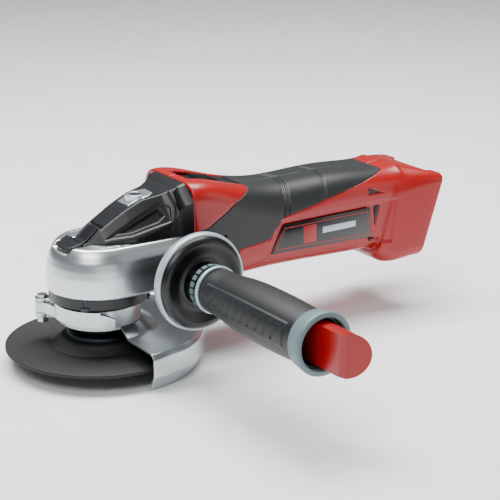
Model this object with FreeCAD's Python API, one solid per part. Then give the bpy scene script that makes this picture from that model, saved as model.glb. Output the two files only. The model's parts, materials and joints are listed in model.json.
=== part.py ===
import FreeCAD, Part
import math
import os

# Cordless angle grinder, in millimetres.
# Origin: the spindle axis at the spindle's end face.
# +Z runs up the spindle, +X back along the body, -Y is the side-handle side.

V = FreeCAD.Vector
X = V(1, 0, 0)
Y = V(0, 1, 0)
Z = V(0, 0, 1)
ZERO = V(0, 0, 0)

# ---- clearances and walls ----
slip = 0.05           # shaft in its own bearing or bore
gap = 0.3             # between pieces that move past each other
case_wall = 2.5       # moulded housing
front_wall = 2.6      # wall that the head screws clamp
shaft_hole_r = 12.0   # opening in that wall
skin = 1.2            # depth of the soft grip
badge_skin = 0.8
cover_wall = 2.4      # gear head cover
sheet = 1.5           # guard sheet

# ---- grinding disc, flange and nut ----
disc_r = 57.5
disc_thick = 2.5
disc_bore_r = 11.115
disc_bush_wall = 2.385
disc_rise = 4.9       # depth of the depressed centre
flange_thick = 4.6
nut_r = 20.0
nut_recess = 0.8      # nut face above the spindle end
nut_pin_r = 15.0      # pitch radius of the spanner holes
nut_pin_hole_r = 2.6
disc_dish_r = nut_r + 2.5
disc_bush_r = disc_bore_r + disc_bush_wall
flange_top = disc_rise + disc_thick + flange_thick

# ---- spindle and its bearing ----
thread_r = 7.0        # M14
spindle_mid_r = 8.5
spindle_top_r = 5.0
neck_clear = 5.5      # backing flange to the neck's lower end
neck_bottom = flange_top + neck_clear
spindle_bearing = {"bore": 7.5, "outer": 17.5, "width": 11.0, "start": neck_bottom + 2}
neck_r = spindle_bearing["outer"] + 4.6
ring_bottom = spindle_bearing["start"] + spindle_bearing["width"] + 0.5
ring_thick = 7.0      # black bearing flange
head_bottom = ring_bottom + ring_thick

# ---- bevel gears ----
crown_teeth = 36
pinion_teeth = 12
crown_r = 24.0        # pitch radius at the large end
crown_face = 8.0      # tooth length along the cone
crown_hub_r = 9.0
crown_web_thick = 4.0
crown_hub_z = ring_bottom + 5
crown_web_z = crown_hub_z + 6
crown_hub_top = crown_web_z + crown_web_thick + 2
tooth_fill = 0.42     # tooth width as a share of the pitch
addendum = 0.95
dedendum = 1.25
pinion_r = crown_r * pinion_teeth / crown_teeth
motor_z = crown_web_z + 8.5 + pinion_r
pinion_bore_r = 3.0
spindle_top_z = motor_z - 1

# ---- spindle lock ----
lock_pin_r = 2.0
lock_pitch_r = crown_hub_r + lock_pin_r + 0.5
lock_holes = 4
spring_r = lock_pin_r + 1.1

# ---- gear head ----
head_wall = 3.2
room_gap = 4.0        # crown gear to the head's wall
nose_r = crown_r + room_gap + head_wall
head_top = motor_z + 8.5
deck_z = motor_z + 1.5        # floor under the cover's nose
deck_thick = 3.0
tunnel_r = pinion_r + 2       # over the pinion
ridge_top = motor_z + tunnel_r + 3.5
ridge_half = tunnel_r + 3.5
channel_half = 9.4    # nose channel that the cover fills
button_low = deck_z + 5.2
bush_r = spindle_top_r + 1.2
ring_r = nose_r - 0.9
front_bearing = {"bore": 5.0, "outer": 13.0, "width": 8.0, "start": crown_r + 12}
head_end = front_bearing["start"] + front_bearing["width"] + 6
handle_hole_r = 3.4   # M8 core hole
handle_hole_depth = 16.0
handle_boss_r = 9.5
handle_boss_y = nose_r + 4.8
handle_x = front_bearing["start"] + 2
handle_z = motor_z - 11
top_hole_x = crown_r + 2
top_boss_r = 6.2
top_boss_z = motor_z + 32

# ---- guard ----
guard_gap = 4.3       # disc edge to the guard's skirt
band_thick = 2.2
band_r = neck_r + gap
band_bottom = neck_bottom - 0.8
band_top = ring_bottom - 2
guard_r = disc_r + guard_gap + sheet
guard_top = flange_top + 0.6
guard_skirt = -1.3
guard_lip_r = disc_r + 1.4
guard_lip = -10.0
guard_arc = 180.0
lever_pivot_r = nose_r + 3.8
lever_pivot_turn = 140.0      # degrees from +X
lever_r = band_r + band_thick + 1.2
lever_thick = 1.8
lever_bottom = band_bottom + 3.6
lever_top = band_top + 0.5
eye_r = 4.6
eye_top = lever_top - 2.9
ear_half = 3.6
pivot_head = 1.6      # low heads of the clamp's pivot screw

# ---- motor ----
can_r = 22.0
can_wall = 2.0
can_length = 54.0
magnet_thick = 3.0
air_gap = 0.5
fan_r = can_r - 1
fan_blades = 18
fan_start = head_end + 7
fan_end = fan_start + 10
baffle_x = fan_end + 3
can_start = baffle_x + 4
can_end = can_start + can_length
core_start = can_start + 8
core_end = can_end - 8
commutator_r = 9.0
commutator_start = can_end + 4
commutator_end = commutator_start + 10
rear_bearing = {"bore": 4.0, "outer": 11.0, "width": 7.0, "start": commutator_end + 4}
shaft_end = rear_bearing["start"] + rear_bearing["width"] + 3

# ---- motor housing and battery foot ----
tail_room = 45.0      # motor shaft to the foot
foot_x = shaft_end + tail_room
foot_half = can_r + 10.5
foot_top = (foot_x + 40, motor_z + 18)       # the leaning rear face, X and Z
foot_low = (foot_x + 22, motor_z - 35.5)
pocket_depth = 11.0
pocket_half = 23.0
pocket_lip = 3.5
pocket_mouth_half = 19.0
pocket_floor = 8.0    # solid left below the pocket

# ---- slide switch ----
switch_x = head_end + 25.6
switch_z = motor_z + can_r + 10.5
switch_lean = 10.7    # degrees, front end up
switch_travel = 6.0
well_half_len = 20.0
well_half_wide = 11.0
well_deep = 3.2
slider_front = -12.0
slider_back = 18.5
stem_half = 3.6
slot_half_wide = 4.0

# ---- side handle, along -Y from the gear head ----
grip_neck_r = 12.6
collar_start = handle_boss_y + 0.4
flange_back = handle_boss_y + 13.8
flange_front = flange_back + 8.7
grip_flange_r = 29.3
sleeve_start = flange_front + 13.5
sleeve_length = 99.0
sleeve_end = sleeve_start + sleeve_length
sleeve_bore_r = 11.5
tube_start = sleeve_start + 34
sleeve_front_r = 14.0
sleeve_mid_r = 17.0
sleeve_back_r = 15.7
end_ring_r = sleeve_back_r + 2.3
end_ring_end = sleeve_end + 4.7
tube_r = sleeve_back_r - 1.1
hollow_r = tube_r - 1.2
hollow_front_r = sleeve_bore_r - 1.3
hollow_start = sleeve_start + 20
mouth_r = end_ring_r - 3.2
spanner_r = hollow_r - 1.1
spanner_flat = -3.5   # flat side of the spanner's grip, from the handle axis
spanner_end = end_ring_end + 25


def save(name, shape):
    """Write one sub-part to its own file."""
    shape.exportStep("parts/" + name + ".step")


def place(shape, centre, along):
    """Turn a shape built up +Z so that it runs along an axis from a centre."""
    shape.Placement = FreeCAD.Placement(centre, FreeCAD.Rotation(Z, along))
    return shape


def rod(radius, start, end, centre=ZERO, along=Z):
    """Solid cylinder between two heights on an axis."""
    return place(Part.makeCylinder(radius, end - start, V(0, 0, start)), centre, along)


def ring(inner, outer, start, end, centre=ZERO, along=Z):
    """Tube between two heights on an axis."""
    wall = Part.makeCylinder(outer, end - start, V(0, 0, start))
    return place(wall.cut(Part.makeCylinder(inner, end - start, V(0, 0, start))), centre, along)


def turned(profile, centre=ZERO, along=Z, angle=360.0, start=0.0):
    """Revolve a closed outline of (radius, height) points."""
    points = [V(r, 0, h) for r, h in profile]
    face = Part.Face(Part.makePolygon(points + points[:1]))
    face.rotate(ZERO, Z, start)
    return place(face.revolve(ZERO, Z, angle), centre, along)


def box(x0, x1, y0, y1, z0, z1):
    return Part.makeBox(x1 - x0, y1 - y0, z1 - z0, V(x0, y0, z0))


def side_prism(outline, y0, y1):
    """Extrude an outline of (x, z) points across the body."""
    points = [V(x, y0, z) for x, z in outline]
    return Part.Face(Part.makePolygon(points + points[:1])).extrude(V(0, y1 - y0, 0))


def plan_prism(outline, z0, z1):
    """Extrude an outline of (x, y) points upwards."""
    points = [V(x, y, z0) for x, y in outline]
    return Part.Face(Part.makePolygon(points + points[:1])).extrude(V(0, 0, z1 - z0))


def solids(shapes):
    """Separate solids that share one file."""
    return Part.makeCompound(shapes)


def around(shape, count, axis=Z, centre=ZERO):
    """Copies of a shape spaced evenly about an axis."""
    copies = []
    for k in range(count):
        copy = shape.copy()
        copy.rotate(centre, axis, 360.0 * k / count)
        copies.append(copy)
    return copies


def mirrored(shape):
    return shape.mirror(ZERO, Y)


# ---- bearings ----

def bearing(size, centre, along):
    """Outer race, inner race and balls of one deep-groove bearing."""
    middle = size["start"] + size["width"] / 2
    inner_lip = size["bore"] + (size["outer"] - size["bore"]) * 0.28
    outer_lip = size["outer"] - (size["outer"] - size["bore"]) * 0.28
    ball_r = (outer_lip - inner_lip) * 0.62
    track_r = (inner_lip + outer_lip) / 2
    end = size["start"] + size["width"]
    track = Part.makeTorus(track_r, ball_r + slip, V(0, 0, middle))
    outer = ring(outer_lip, size["outer"] - slip, size["start"], end).cut(track)
    inner = ring(size["bore"] + slip, inner_lip, size["start"], end).cut(track)
    ball = Part.makeSphere(ball_r, V(track_r, 0, middle))
    count = int(math.pi * track_r / (ball_r * 1.25))
    balls = around(ball, count)
    pieces = [outer, inner, solids(balls)]
    return [place(piece, centre, along) for piece in pieces]


# ---- disc end ----

def grinding_disc():
    """Depressed-centre disc: flat hub, cone, thin working ring."""
    top = disc_rise + disc_thick
    cone = disc_dish_r + disc_rise
    return turned([
        (disc_bush_r, disc_rise), (disc_dish_r, disc_rise), (cone, 0), (disc_r, 0),
        (disc_r, disc_thick), (cone + 1, disc_thick), (disc_dish_r + 1, top), (disc_bush_r, top)])


def disc_bush():
    return ring(disc_bore_r, disc_bush_r, disc_rise, disc_rise + disc_thick)


def inner_flange():
    """Backing flange with a pilot that centres the disc."""
    seat = disc_rise + disc_thick
    top = flange_top
    pilot = disc_rise + 0.4
    return turned([
        (thread_r + slip, pilot), (disc_bore_r - slip, pilot), (disc_bore_r - slip, seat),
        (nut_r, seat), (nut_r, seat + 2.4), (nut_r - 4, top), (thread_r + slip, top)])


def clamp_nut():
    """Round nut with holes for a pin spanner."""
    body = ring(thread_r + slip, nut_r, nut_recess, disc_rise)
    hole = rod(nut_pin_hole_r, -1, disc_rise + 1, V(nut_pin_r, 0, 0))
    for cutter in around(hole, 4):
        body = body.cut(cutter)
    return body


def spindle():
    """Output shaft: thread, bearing seat, gear seat and top journal."""
    seat = spindle_bearing["start"]
    seat_end = seat + spindle_bearing["width"]
    bore = spindle_bearing["bore"]
    return turned([
        (0, 0), (thread_r - 1, 0), (thread_r, 1), (thread_r, flange_top),
        (spindle_mid_r, flange_top), (spindle_mid_r, seat), (bore, seat), (bore, seat_end),
        (spindle_mid_r, seat_end), (spindle_mid_r, crown_hub_z), (bore, crown_hub_z),
        (bore, crown_hub_top), (spindle_top_r, crown_hub_top), (spindle_top_r, spindle_top_z - 1),
        (spindle_top_r - 1, spindle_top_z), (0, spindle_top_z)])


# ---- bevel gears, cones meeting where the two axes cross ----

def bevel_tooth(pitch_r, back, root, tip, width):
    """One straight tooth on +X that shrinks towards the cone's apex.

    The gear's axis is Z and its apex is at the origin; back is the large
    end's distance below the apex, and the tooth stands up from the cone.
    """
    cone = math.atan2(pitch_r, back)
    away = V(math.cos(cone), 0, math.sin(cone))
    large = V(pitch_r, 0, -back)
    shrink = 1 - crown_face / math.hypot(pitch_r, back)
    low = -root - 0.4
    base = width * 0.66
    crest = width * 0.34
    outline = [(low, -base), (low, base), (tip, crest), (tip, -crest)]
    big = [large + away * height + Y * side for height, side in outline]
    small = [point * shrink for point in big]
    wires = [Part.makePolygon(loop + loop[:1]) for loop in (big, small)]
    return Part.makeLoft(wires, True, True)


def bevel_gear(pitch_r, back, teeth, bore, hub):
    """Toothed cone with a bore, apex at the origin and axis Z."""
    slant = math.hypot(pitch_r, back)
    shrink = 1 - crown_face / slant
    cone = math.atan2(pitch_r, back)
    root = V(pitch_r - dedendum * math.cos(cone), 0, -back - dedendum * math.sin(cone))
    small = root * shrink
    body = turned([
        (bore, small.z - 0.2), (small.x, small.z), (root.x, root.z),
        (hub[0][0], hub[0][1])] + hub[1:] + [(bore, hub[-1][1])])
    width = tooth_fill * 2 * math.pi * pitch_r / teeth
    tooth = bevel_tooth(pitch_r, back, dedendum, addendum, width)
    shape = body.multiFuse(around(tooth, teeth))
    return shape.removeSplitter()


def crown_gear():
    """Large bevel gear with a web, hub and lock holes."""
    back = pinion_r
    web_low = crown_web_z - motor_z
    hub_low = crown_hub_z - motor_z
    hub_high = crown_hub_top - motor_z
    rim_in = crown_r * (1 - crown_face / math.hypot(crown_r, back)) - 0.5
    toothed = bevel_gear(crown_r, back, crown_teeth, rim_in, [(crown_r + 0.3, web_low)])
    web = ring(crown_hub_r - 1, rim_in + 1, web_low, web_low + crown_web_thick)
    hub = ring(spindle_bearing["bore"] + slip, crown_hub_r, hub_low, hub_high)
    core = rod(spindle_bearing["bore"] + slip, hub_low, hub_high)
    gear = toothed.fuse(web).fuse(hub).cut(core)
    hole = rod(lock_pin_r + 0.4, web_low - 1, web_low + crown_web_thick + 1, V(-lock_pitch_r, 0, 0))
    for cutter in around(hole, lock_holes):
        gear = gear.cut(cutter)
    gear.translate(V(0, 0, motor_z))
    return gear


def pinion_gear():
    """Small bevel gear on the motor shaft, a gap facing the crown tooth."""
    hub_end = -(crown_r + 4)
    hub_r = pinion_r - 1.8
    gear = bevel_gear(pinion_r, crown_r, pinion_teeth, pinion_bore_r + slip,
                      [(hub_r, -(crown_r + 0.5)), (hub_r, hub_end)])
    gear.rotate(ZERO, Z, 180.0 / pinion_teeth)
    gear.rotate(ZERO, Y, -90)
    gear.translate(V(0, 0, motor_z))
    return gear


# ---- motor ----

motor_axis = V(0, 0, motor_z)


def rotor_shaft():
    front = front_bearing["start"]
    front_end = front + front_bearing["width"]
    return turned([
        (0, crown_r - crown_face - 2), (pinion_bore_r, crown_r - crown_face - 2),
        (pinion_bore_r, crown_r + 5),
        (front_bearing["bore"], crown_r + 5), (front_bearing["bore"], front_end),
        (6.0, front_end), (6.0, fan_start - 4), (rear_bearing["bore"], fan_start - 4),
        (rear_bearing["bore"], shaft_end), (0, shaft_end)], motor_axis, X)


def rotor_core():
    """Laminated core with open slots along it."""
    outer = can_r - can_wall - magnet_thick - air_gap
    body = ring(rear_bearing["bore"] + slip, outer, core_start, core_end)
    slot = box(outer - 6, outer + 1, -1.1, 1.1, core_start - 1, core_end + 1)
    for cutter in around(slot, 10):
        body = body.cut(cutter)
    return place(body, motor_axis, X)


def rotor_windings():
    """Coil heads at both ends of the core."""
    outer = can_r - can_wall - magnet_thick - air_gap - 3
    front = ring(rear_bearing["bore"] + 1, outer, core_start - 7, core_start, motor_axis, X)
    back = ring(rear_bearing["bore"] + 1, outer, core_end, core_end + 7, motor_axis, X)
    return solids([front, back])


def commutator():
    """Copper drum cut into bars."""
    body = ring(rear_bearing["bore"] + slip, commutator_r, commutator_start, commutator_end)
    bar_gap = box(commutator_r - 1, commutator_r + 1, -0.25, 0.25, commutator_start - 1,
                  commutator_end + 1)
    for cutter in around(bar_gap, 20):
        body = body.cut(cutter)
    return place(body, motor_axis, X)


def cooling_fan():
    """Radial fan: back plate, hub and straight blades."""
    plate = ring(rear_bearing["bore"] + slip, fan_r, fan_start, fan_start + 1.6)
    hub = ring(rear_bearing["bore"] + slip, 8, fan_start, fan_end - 2)
    blade = box(11, fan_r, -0.6, 0.6, fan_start + 1.2, fan_end)
    return place(plate.fuse(hub).multiFuse(around(blade, fan_blades)), motor_axis, X)


def stator_can():
    """Steel tube with a closed-in front lip."""
    body = ring(can_r - can_wall, can_r, can_start, can_end)
    lip = ring(can_r - 5, can_r, can_start, can_start + 1.6)
    return place(body.fuse(lip), motor_axis, X)


def stator_magnets():
    """Two curved magnets inside the can."""
    outer = can_r - can_wall
    arcs = []
    for turn in (20, 200):
        arc = turned([
            (outer - magnet_thick, core_start - 2), (outer, core_start - 2),
            (outer, core_end + 2), (outer - magnet_thick, core_end + 2)], angle=140, start=turn)
        arcs.append(place(arc, motor_axis, X))
    return solids(arcs)


def fan_baffle():
    return ring(can_r - 7, can_r + 1, baffle_x, baffle_x + 1.8, motor_axis, X)


def brush_parts():
    """Holders, carbon brushes and their springs on both sides."""
    middle = (commutator_start + commutator_end) / 2
    inner = commutator_r + slip
    carbon_end = commutator_r + 7
    holder_end = can_r
    wide = 3 + slip
    carbon = box(middle - 3, middle + 3, inner, carbon_end, motor_z - 2.5, motor_z + 2.5)
    holder = box(middle - 4.2, middle + 4.2, commutator_r + 2, holder_end,
                 motor_z - 3.7, motor_z + 3.7)
    tunnel = box(middle - wide, middle + wide, commutator_r + 1, holder_end - 1.5,
                 motor_z - wide + 0.5, motor_z + wide - 0.5)
    spring = ring(1.0, 1.8, carbon_end, holder_end - 1.5, V(middle, 0, motor_z), Y)
    sets = []
    for piece in (holder.cut(tunnel), carbon, spring):
        sets.append(solids([piece, mirrored(piece)]))
    return sets


# ---- housing shells ----

body_sections = [
    # x, room under the motor can, over it, beside it, lower corner, upper corner
    (head_end, 4.5, 17.0, 7.0, 13.0, 11.0),
    (head_end + 30, 3.5, 11.5, 7.0, 13.0, 13.0),
    (head_end + 48, 3.0, 7.0, 6.0, 13.0, 16.0),
    (rear_bearing["start"] + 1, 4.0, 4.8, 5.0, 13.0, 17.0),
    (foot_x - 22, 5.0, 4.0, 5.0, 13.0, 15.0),
    (foot_x + 11, 6.5, 3.5, 6.0, 12.0, 14.0)]


def rounded_section(x, low, high, half, low_r, high_r):
    """Closed outline across the body with rounded corners."""
    def corner(cy, cz, radius, first):
        a, b, c = [math.radians(first + step) for step in (0, 45, 90)]
        points = [V(x, cy + radius * math.cos(t), cz + radius * math.sin(t)) for t in (a, b, c)]
        return Part.Arc(*points).toShape()
    arcs = [
        corner(half - high_r, high - high_r, high_r, 0),
        corner(-half + high_r, high - high_r, high_r, 90),
        corner(-half + low_r, low + low_r, low_r, 180),
        corner(half - low_r, low + low_r, low_r, 270)]
    edges = []
    for k, arc in enumerate(arcs):
        following = arcs[(k + 1) % 4]
        edges.append(arc)
        edges.append(Part.makeLine(arc.Vertexes[-1].Point, following.Vertexes[0].Point))
    return Part.Wire(edges)


# behind the rear face; low, high, half width; lower and upper corner radius
foot_sections = [
    (33, -6.0, -3.3, -4.1, 9, 18), (21, -8.9, -1.5, -2.7, 9, 13),
    (10, -4.5, -0.5, -1.0, 9, 8), (0, 0.0, 0.0, 0.0, 8, 5)]


def foot_block(inset):
    """Battery foot that flares from the grip to the leaning rear face."""
    wires = []
    for depth, low, high, beside, low_r, high_r in foot_sections:
        back = min(max(-depth, -foot_sections[0][0] + inset), -inset)
        wire = rounded_section(back, low + inset, foot_face_length() + high - inset,
                               foot_half + beside - inset, low_r - inset, high_r - inset)
        wires.append(foot_frame(wire))
    return Part.makeLoft(wires, True, False)


def body_form(inset):
    """Outer form of the motor housing, taken in by an even inset."""
    wires = []
    for x, under, over, beside, low_r, high_r in body_sections:
        low = motor_z - can_r - under + inset
        high = motor_z + can_r + over - inset
        half = can_r + beside - inset
        wires.append(rounded_section(x, low, high, half, low_r - inset, high_r - inset))
    tube = Part.makeLoft(wires, True, False)
    return tube.fuse(foot_block(inset))


def foot_frame(shape):
    """Stand a shape built in the rear face's own frame on the foot.

    In that frame X points out of the face, Z runs up along it, and the
    origin is the face's lower edge at mid width.
    """
    high = foot_top
    low = foot_low
    lean = math.degrees(math.atan2(high[0] - low[0], high[1] - low[1]))
    shape.rotate(ZERO, Y, lean)
    shape.translate(V(low[0], 0, low[1]))
    return shape


def foot_face_length():
    high = foot_top
    low = foot_low
    return math.hypot(high[0] - low[0], high[1] - low[1])


def battery_pocket():
    """Receptacle that the battery slides down into, with undercut rails."""
    top = foot_face_length() + 20
    deep = box(-pocket_depth, -pocket_lip, -pocket_half, pocket_half, pocket_floor, top)
    mouth = box(-pocket_lip - 1, 20, -pocket_mouth_half, pocket_mouth_half, pocket_floor, top)
    return foot_frame(deep.fuse(mouth))


def pocket_shell():
    """Wall that closes the housing behind and beside the pocket."""
    wall = case_wall
    top = foot_face_length() + 20
    return foot_frame(box(-pocket_depth - wall, 5, -pocket_half - wall, pocket_half + wall,
                          pocket_floor - wall, top))


def switch_frame(shape):
    """Lean a shape built about the slide switch onto the hump."""
    shape.rotate(ZERO, Y, switch_lean)
    shape.translate(V(switch_x, 0, switch_z))
    return shape


def beside_motor(points):
    """Side-view points given as (x, height above the motor axis)."""
    return [(x, motor_z + above) for x, above in points]


grip_outline = beside_motor([
    (head_end - 1, 10.5), (head_end - 1, -33.5), (head_end + 18, -33.5), (head_end + 32.8, -5.8),
    (head_end + 55, -4.0), (head_end + 64.8, 7.8), (foot_x + 4, 25.0), (foot_x + 4, 60),
    (head_end + 48, 60), (head_end + 45, 28.5), (head_end + 30.7, 24.5), (head_end + 9, 11.5)])
badge_outline = beside_motor([
    (head_end + 66.3, 3.7), (foot_x - 16.6, 4.0), (foot_x - 16, -16.2), (head_end + 57.4, -14.2)])

housing_screw_spots = beside_motor([
    (head_end + 4.5, can_r + 5.5), (shaft_end + 7, -18.5), (shaft_end + 7, 17.5),
    (foot_x - 5, -21.5), (foot_x - 5, 17.5), (foot_x + 8, -29.5)])
beyond = 2.5 * can_r      # reach of cutters past the shell
housing_boss_r = 3.6
housing_screw_r = 1.75
housing_head_r = 3.0
housing_head_y = 16.0     # screw heads sit this far out on the right


def motor_housing(outer, grip_floor, badge_floor, hollow):
    """Both halves of the moulded shell, split along the middle."""
    ribs = [ring(shaft_hole_r, beyond, head_end, head_end + front_wall, motor_axis, X)]
    for x in (can_start + 4, can_end - 10):
        ribs.append(ring(can_r + slip, beyond, x, x + 3, motor_axis, X))
    seat = rear_bearing["start"]
    ribs.append(ring(rear_bearing["outer"], beyond, seat, seat + rear_bearing["width"],
                     motor_axis, X))
    for x, z in housing_screw_spots:
        ribs.append(rod(housing_boss_r, -beyond, beyond, V(x, 0, z), Y))
    ribs.append(pocket_shell())
    well_floor = switch_frame(box(-well_half_len - 2, well_half_len + 2, -well_half_wide - 2,
                                  well_half_wide + 2, -well_deep - 2, 8))
    ribs.append(well_floor)
    inside = hollow.cut(Part.makeCompound(ribs).common(hollow))
    shell = outer.cut(inside)
    well = switch_frame(box(-well_half_len, well_half_len, -well_half_wide, well_half_wide,
                            -well_deep, 15))
    slot = switch_frame(box(-stem_half - switch_travel - 1, stem_half + 1.5, -slot_half_wide,
                            slot_half_wide, -well_deep - 6, 0))
    shell = shell.cut(well).cut(slot).cut(battery_pocket())
    shell = shell.cut(rod(can_r + slip, can_start - 0.5, can_end + 0.5, motor_axis, X))
    for y, z in head_screw_spots():
        shell = shell.cut(rod(head_screw_r + 0.1, head_end - 1, head_end + front_wall + 1, V(0, y, z), X))
    for sign in (-1, 1):
        region = side_prism(grip_outline, 0, sign * beyond)
        shell = shell.cut(region.common(outer).cut(grip_floor))
        region = side_prism(badge_outline, 0, sign * beyond)
        shell = shell.cut(region.common(outer).cut(badge_floor))
    for x, z in housing_screw_spots:
        shell = shell.cut(rod(housing_screw_r, -12, beyond, V(x, 0, z), Y))
    shell = shell.cut(screw_wells()).cut(vent_slots())
    high = motor_z + 2 * beyond
    left = shell.common(box(0, foot_x + beyond, -beyond, 0, -beyond, high))
    right = shell.common(box(0, foot_x + beyond, 0, beyond, -beyond, high))
    return left, right


def screw_wells():
    """Counterbores for the housing screws' heads."""
    wells = []
    for x, z in housing_screw_spots:
        wells.append(rod(housing_head_r + 0.2, housing_head_y, beyond, V(x, 0, z), Y))
    return solids(wells)


def vent_slots():
    """Air slots beside the fan."""
    slots = []
    for k in range(4):
        x = fan_start - 0.5 + 4.6 * k
        slots.append(box(x, x + 2.2, -beyond, beyond, motor_z - 12.5, motor_z + 5.5))
    return solids(slots)


def largest(shape):
    """The main solid of a cut, without slivers."""
    return max(shape.Solids, key=lambda solid: solid.Volume)


def grip_pads(outer, grip_floor):
    """Soft grip, one skin a side."""
    pads = []
    for sign in (-1, 1):
        region = side_prism(grip_outline, 0, sign * beyond)
        pad = region.common(outer).cut(grip_floor)
        well = switch_frame(box(-well_half_len, well_half_len, -well_half_wide,
                                well_half_wide, -well_deep, 15))
        pads.append(largest(pad.cut(well).cut(screw_wells()).cut(vent_slots())))
    return pads


def side_badges(outer, badge_floor):
    plates = []
    for sign in (-1, 1):
        region = side_prism(badge_outline, 0, sign * beyond)
        plates.append(largest(region.common(outer).cut(badge_floor)))
    return solids(plates)


def housing_screws():
    """Screws that join the two halves."""
    screws = []
    for x, z in housing_screw_spots:
        shank = rod(housing_screw_r - slip, -11, housing_head_y + 1, V(x, 0, z), Y)
        head = rod(housing_head_r, housing_head_y, housing_head_y + 2.4, V(x, 0, z), Y)
        screws.append(shank.fuse(head))
    return solids(screws)


# ---- electrics ----

def terminal_block():
    """Moulded block on the pocket's floor."""
    block = box(-pocket_depth, -pocket_depth + 4, -13, 13, 16, 36)
    for y in blade_places():
        block = block.cut(box(-pocket_depth - 1, 0, y - 0.45, y + 0.45, 20, 32))
    return foot_frame(block)


def blade_places():
    return [-9.0, -3.0, 3.0, 9.0]


def terminal_blades():
    """Four contact blades standing out of the block."""
    blades = []
    for y in blade_places():
        blades.append(foot_frame(box(-pocket_depth, -2.5, y - 0.4, y + 0.4, 21, 31)))
    return solids(blades)


def control_board():
    """Circuit board with its power parts."""
    start = shaft_end + 12
    half = can_r - 3
    top = motor_z + 0.1
    board = box(start, start + 24, -half, half, top - 1.6, top)
    for y in (-9, 9):
        board = board.fuse(rod(5, top, top + 9.4, V(start + 7, y, 0)))
    return board.fuse(box(start + 15, start + 21, -12, 12, top, top + 4.4))


def switch_body():
    """Switch under the hump, open on top for the slide's finger."""
    low = motor_z + can_r - 0.3
    front = head_end + 8.5
    body = box(front, front + 10.5, -8, 8, low, low + 4.2)
    return body.cut(box(front + 1, front + 9.5, -2.4, 2.4, low + 1.2, low + 6))


def slide_button():
    """Thumb slide with grip ribs and a stem through the housing."""
    plate = box(slider_front, slider_back, -well_half_wide + 0.6, well_half_wide - 0.6,
                -well_deep + gap, 0.4)
    for k in range(5):
        plate = plate.fuse(box(slider_front + 5 + 3 * k, slider_front + 6.4 + 3 * k,
                               -well_half_wide + 2, well_half_wide - 2, 0.3, 1.5))
    stem = box(-stem_half, stem_half, -slot_half_wide + gap, slot_half_wide - gap,
               -well_deep - 2 - gap, -well_deep + gap)
    return switch_frame(plate.fuse(stem))


def slide_link():
    """Plate under the housing wall, with a finger down to the switch."""
    top = -well_deep - 2 - gap
    bar = box(-12, 6, -6.5, 6.5, top - 1.4, top)
    link = switch_frame(bar)
    low = motor_z + can_r + 1.3
    finger = box(head_end + 15.4, head_end + 17.2, -2, 2, low, low + 4.8)
    return link.fuse(finger)


# ---- gear head ----

def head_dome(profile, end):
    """Round nose about the spindle, drawn straight back to an end."""
    nose = turned([(0, profile[0][1])] + profile + [(0, profile[-1][1])])
    back = [(r, z) for r, z in profile] + [(-r, z) for r, z in reversed(profile)]
    points = [V(0, y, z) for y, z in back]
    tail = Part.Face(Part.makePolygon(points + points[:1])).extrude(V(end, 0, 0))
    return nose.fuse(tail)


def head_outer():
    """Outer form of the head: dome, pinion ridge and nose channel."""
    outer = head_dome([
        (nose_r, head_bottom), (nose_r, motor_z - 8.5), (nose_r - 0.7, motor_z - 3.5),
        (nose_r - 1.9, motor_z + 1), (nose_r - 4.2, motor_z + 5.5),
        (nose_r - 6.7, head_top)], head_end)
    outer = outer.fuse(box(7, head_end, -ridge_half, ridge_half, deck_z, ridge_top))
    return outer.cut(box(-nose_r - 5, 6, -channel_half, channel_half, deck_z, ridge_top + 9))


def gear_housing():
    """Die-cast head: gear room, bearing seats and handle bosses."""
    outer = head_outer()
    for sign in (-1, 1):
        outer = outer.fuse(rod(handle_boss_r, handle_boss_y - 18, handle_boss_y,
                               V(handle_x, 0, handle_z), Y * sign))
    room_r = nose_r - head_wall
    room = head_dome([
        (room_r, head_bottom - 1), (room_r, motor_z - 8.5), (room_r - 1, motor_z - 3.5),
        (room_r - 2.5, deck_z - deck_thick)], front_bearing["start"] - 2)
    tunnel = rod(tunnel_r, 8, front_bearing["start"] - 2, motor_axis, X)
    bush_boss = rod(spindle_top_r + 3.2, spindle_top_z - 5.5, deck_z)
    pin_boss = rod(lock_pin_r + 1.8, deck_z - 6, deck_z, V(-lock_pitch_r, 0, 0))
    room = room.fuse(tunnel).cut(bush_boss).cut(pin_boss)
    body = outer.cut(room)
    body = body.cut(rod(bush_r, spindle_top_z - 6, spindle_top_z + 0.5))
    body = body.cut(rod(lock_pin_r + slip, crown_web_z, head_top, V(-lock_pitch_r, 0, 0)))
    seat_end = front_bearing["start"] + front_bearing["width"]
    body = body.cut(rod(front_bearing["outer"], front_bearing["start"], seat_end, motor_axis, X))
    body = body.cut(rod(8, front_bearing["start"] - 6, head_end + 1, motor_axis, X))
    body = body.cut(rod(front_bearing["outer"] - 2, seat_end - 1, head_end + 1, motor_axis, X))
    for sign in (-1, 1):
        start = handle_boss_y - handle_hole_depth
        body = body.cut(rod(handle_hole_r, start, handle_boss_y + 1,
                            V(handle_x, 0, handle_z), Y * sign))
    for x, y in ring_screw_spots():
        body = body.cut(rod(1.7, head_bottom - 1, head_bottom + 9, V(x, y, 0)))
    for y, z in head_screw_spots():
        body = body.cut(rod(head_screw_r + slip, head_end - 15, head_end + 1, V(0, y, z), X))
    return largest(body)


head_screw_r = 2.0


def ring_screw_spots():
    """Four screws at the corners of the bearing flange."""
    reach = (ring_r - 1.75) / math.sqrt(2)
    return [(-reach, -reach), (-reach, reach), (reach, -reach), (reach, reach)]


def head_screw_spots():
    reach = can_r + 0.5
    return [(-reach, motor_z + 1.5), (reach, motor_z + 1.5)]


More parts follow.
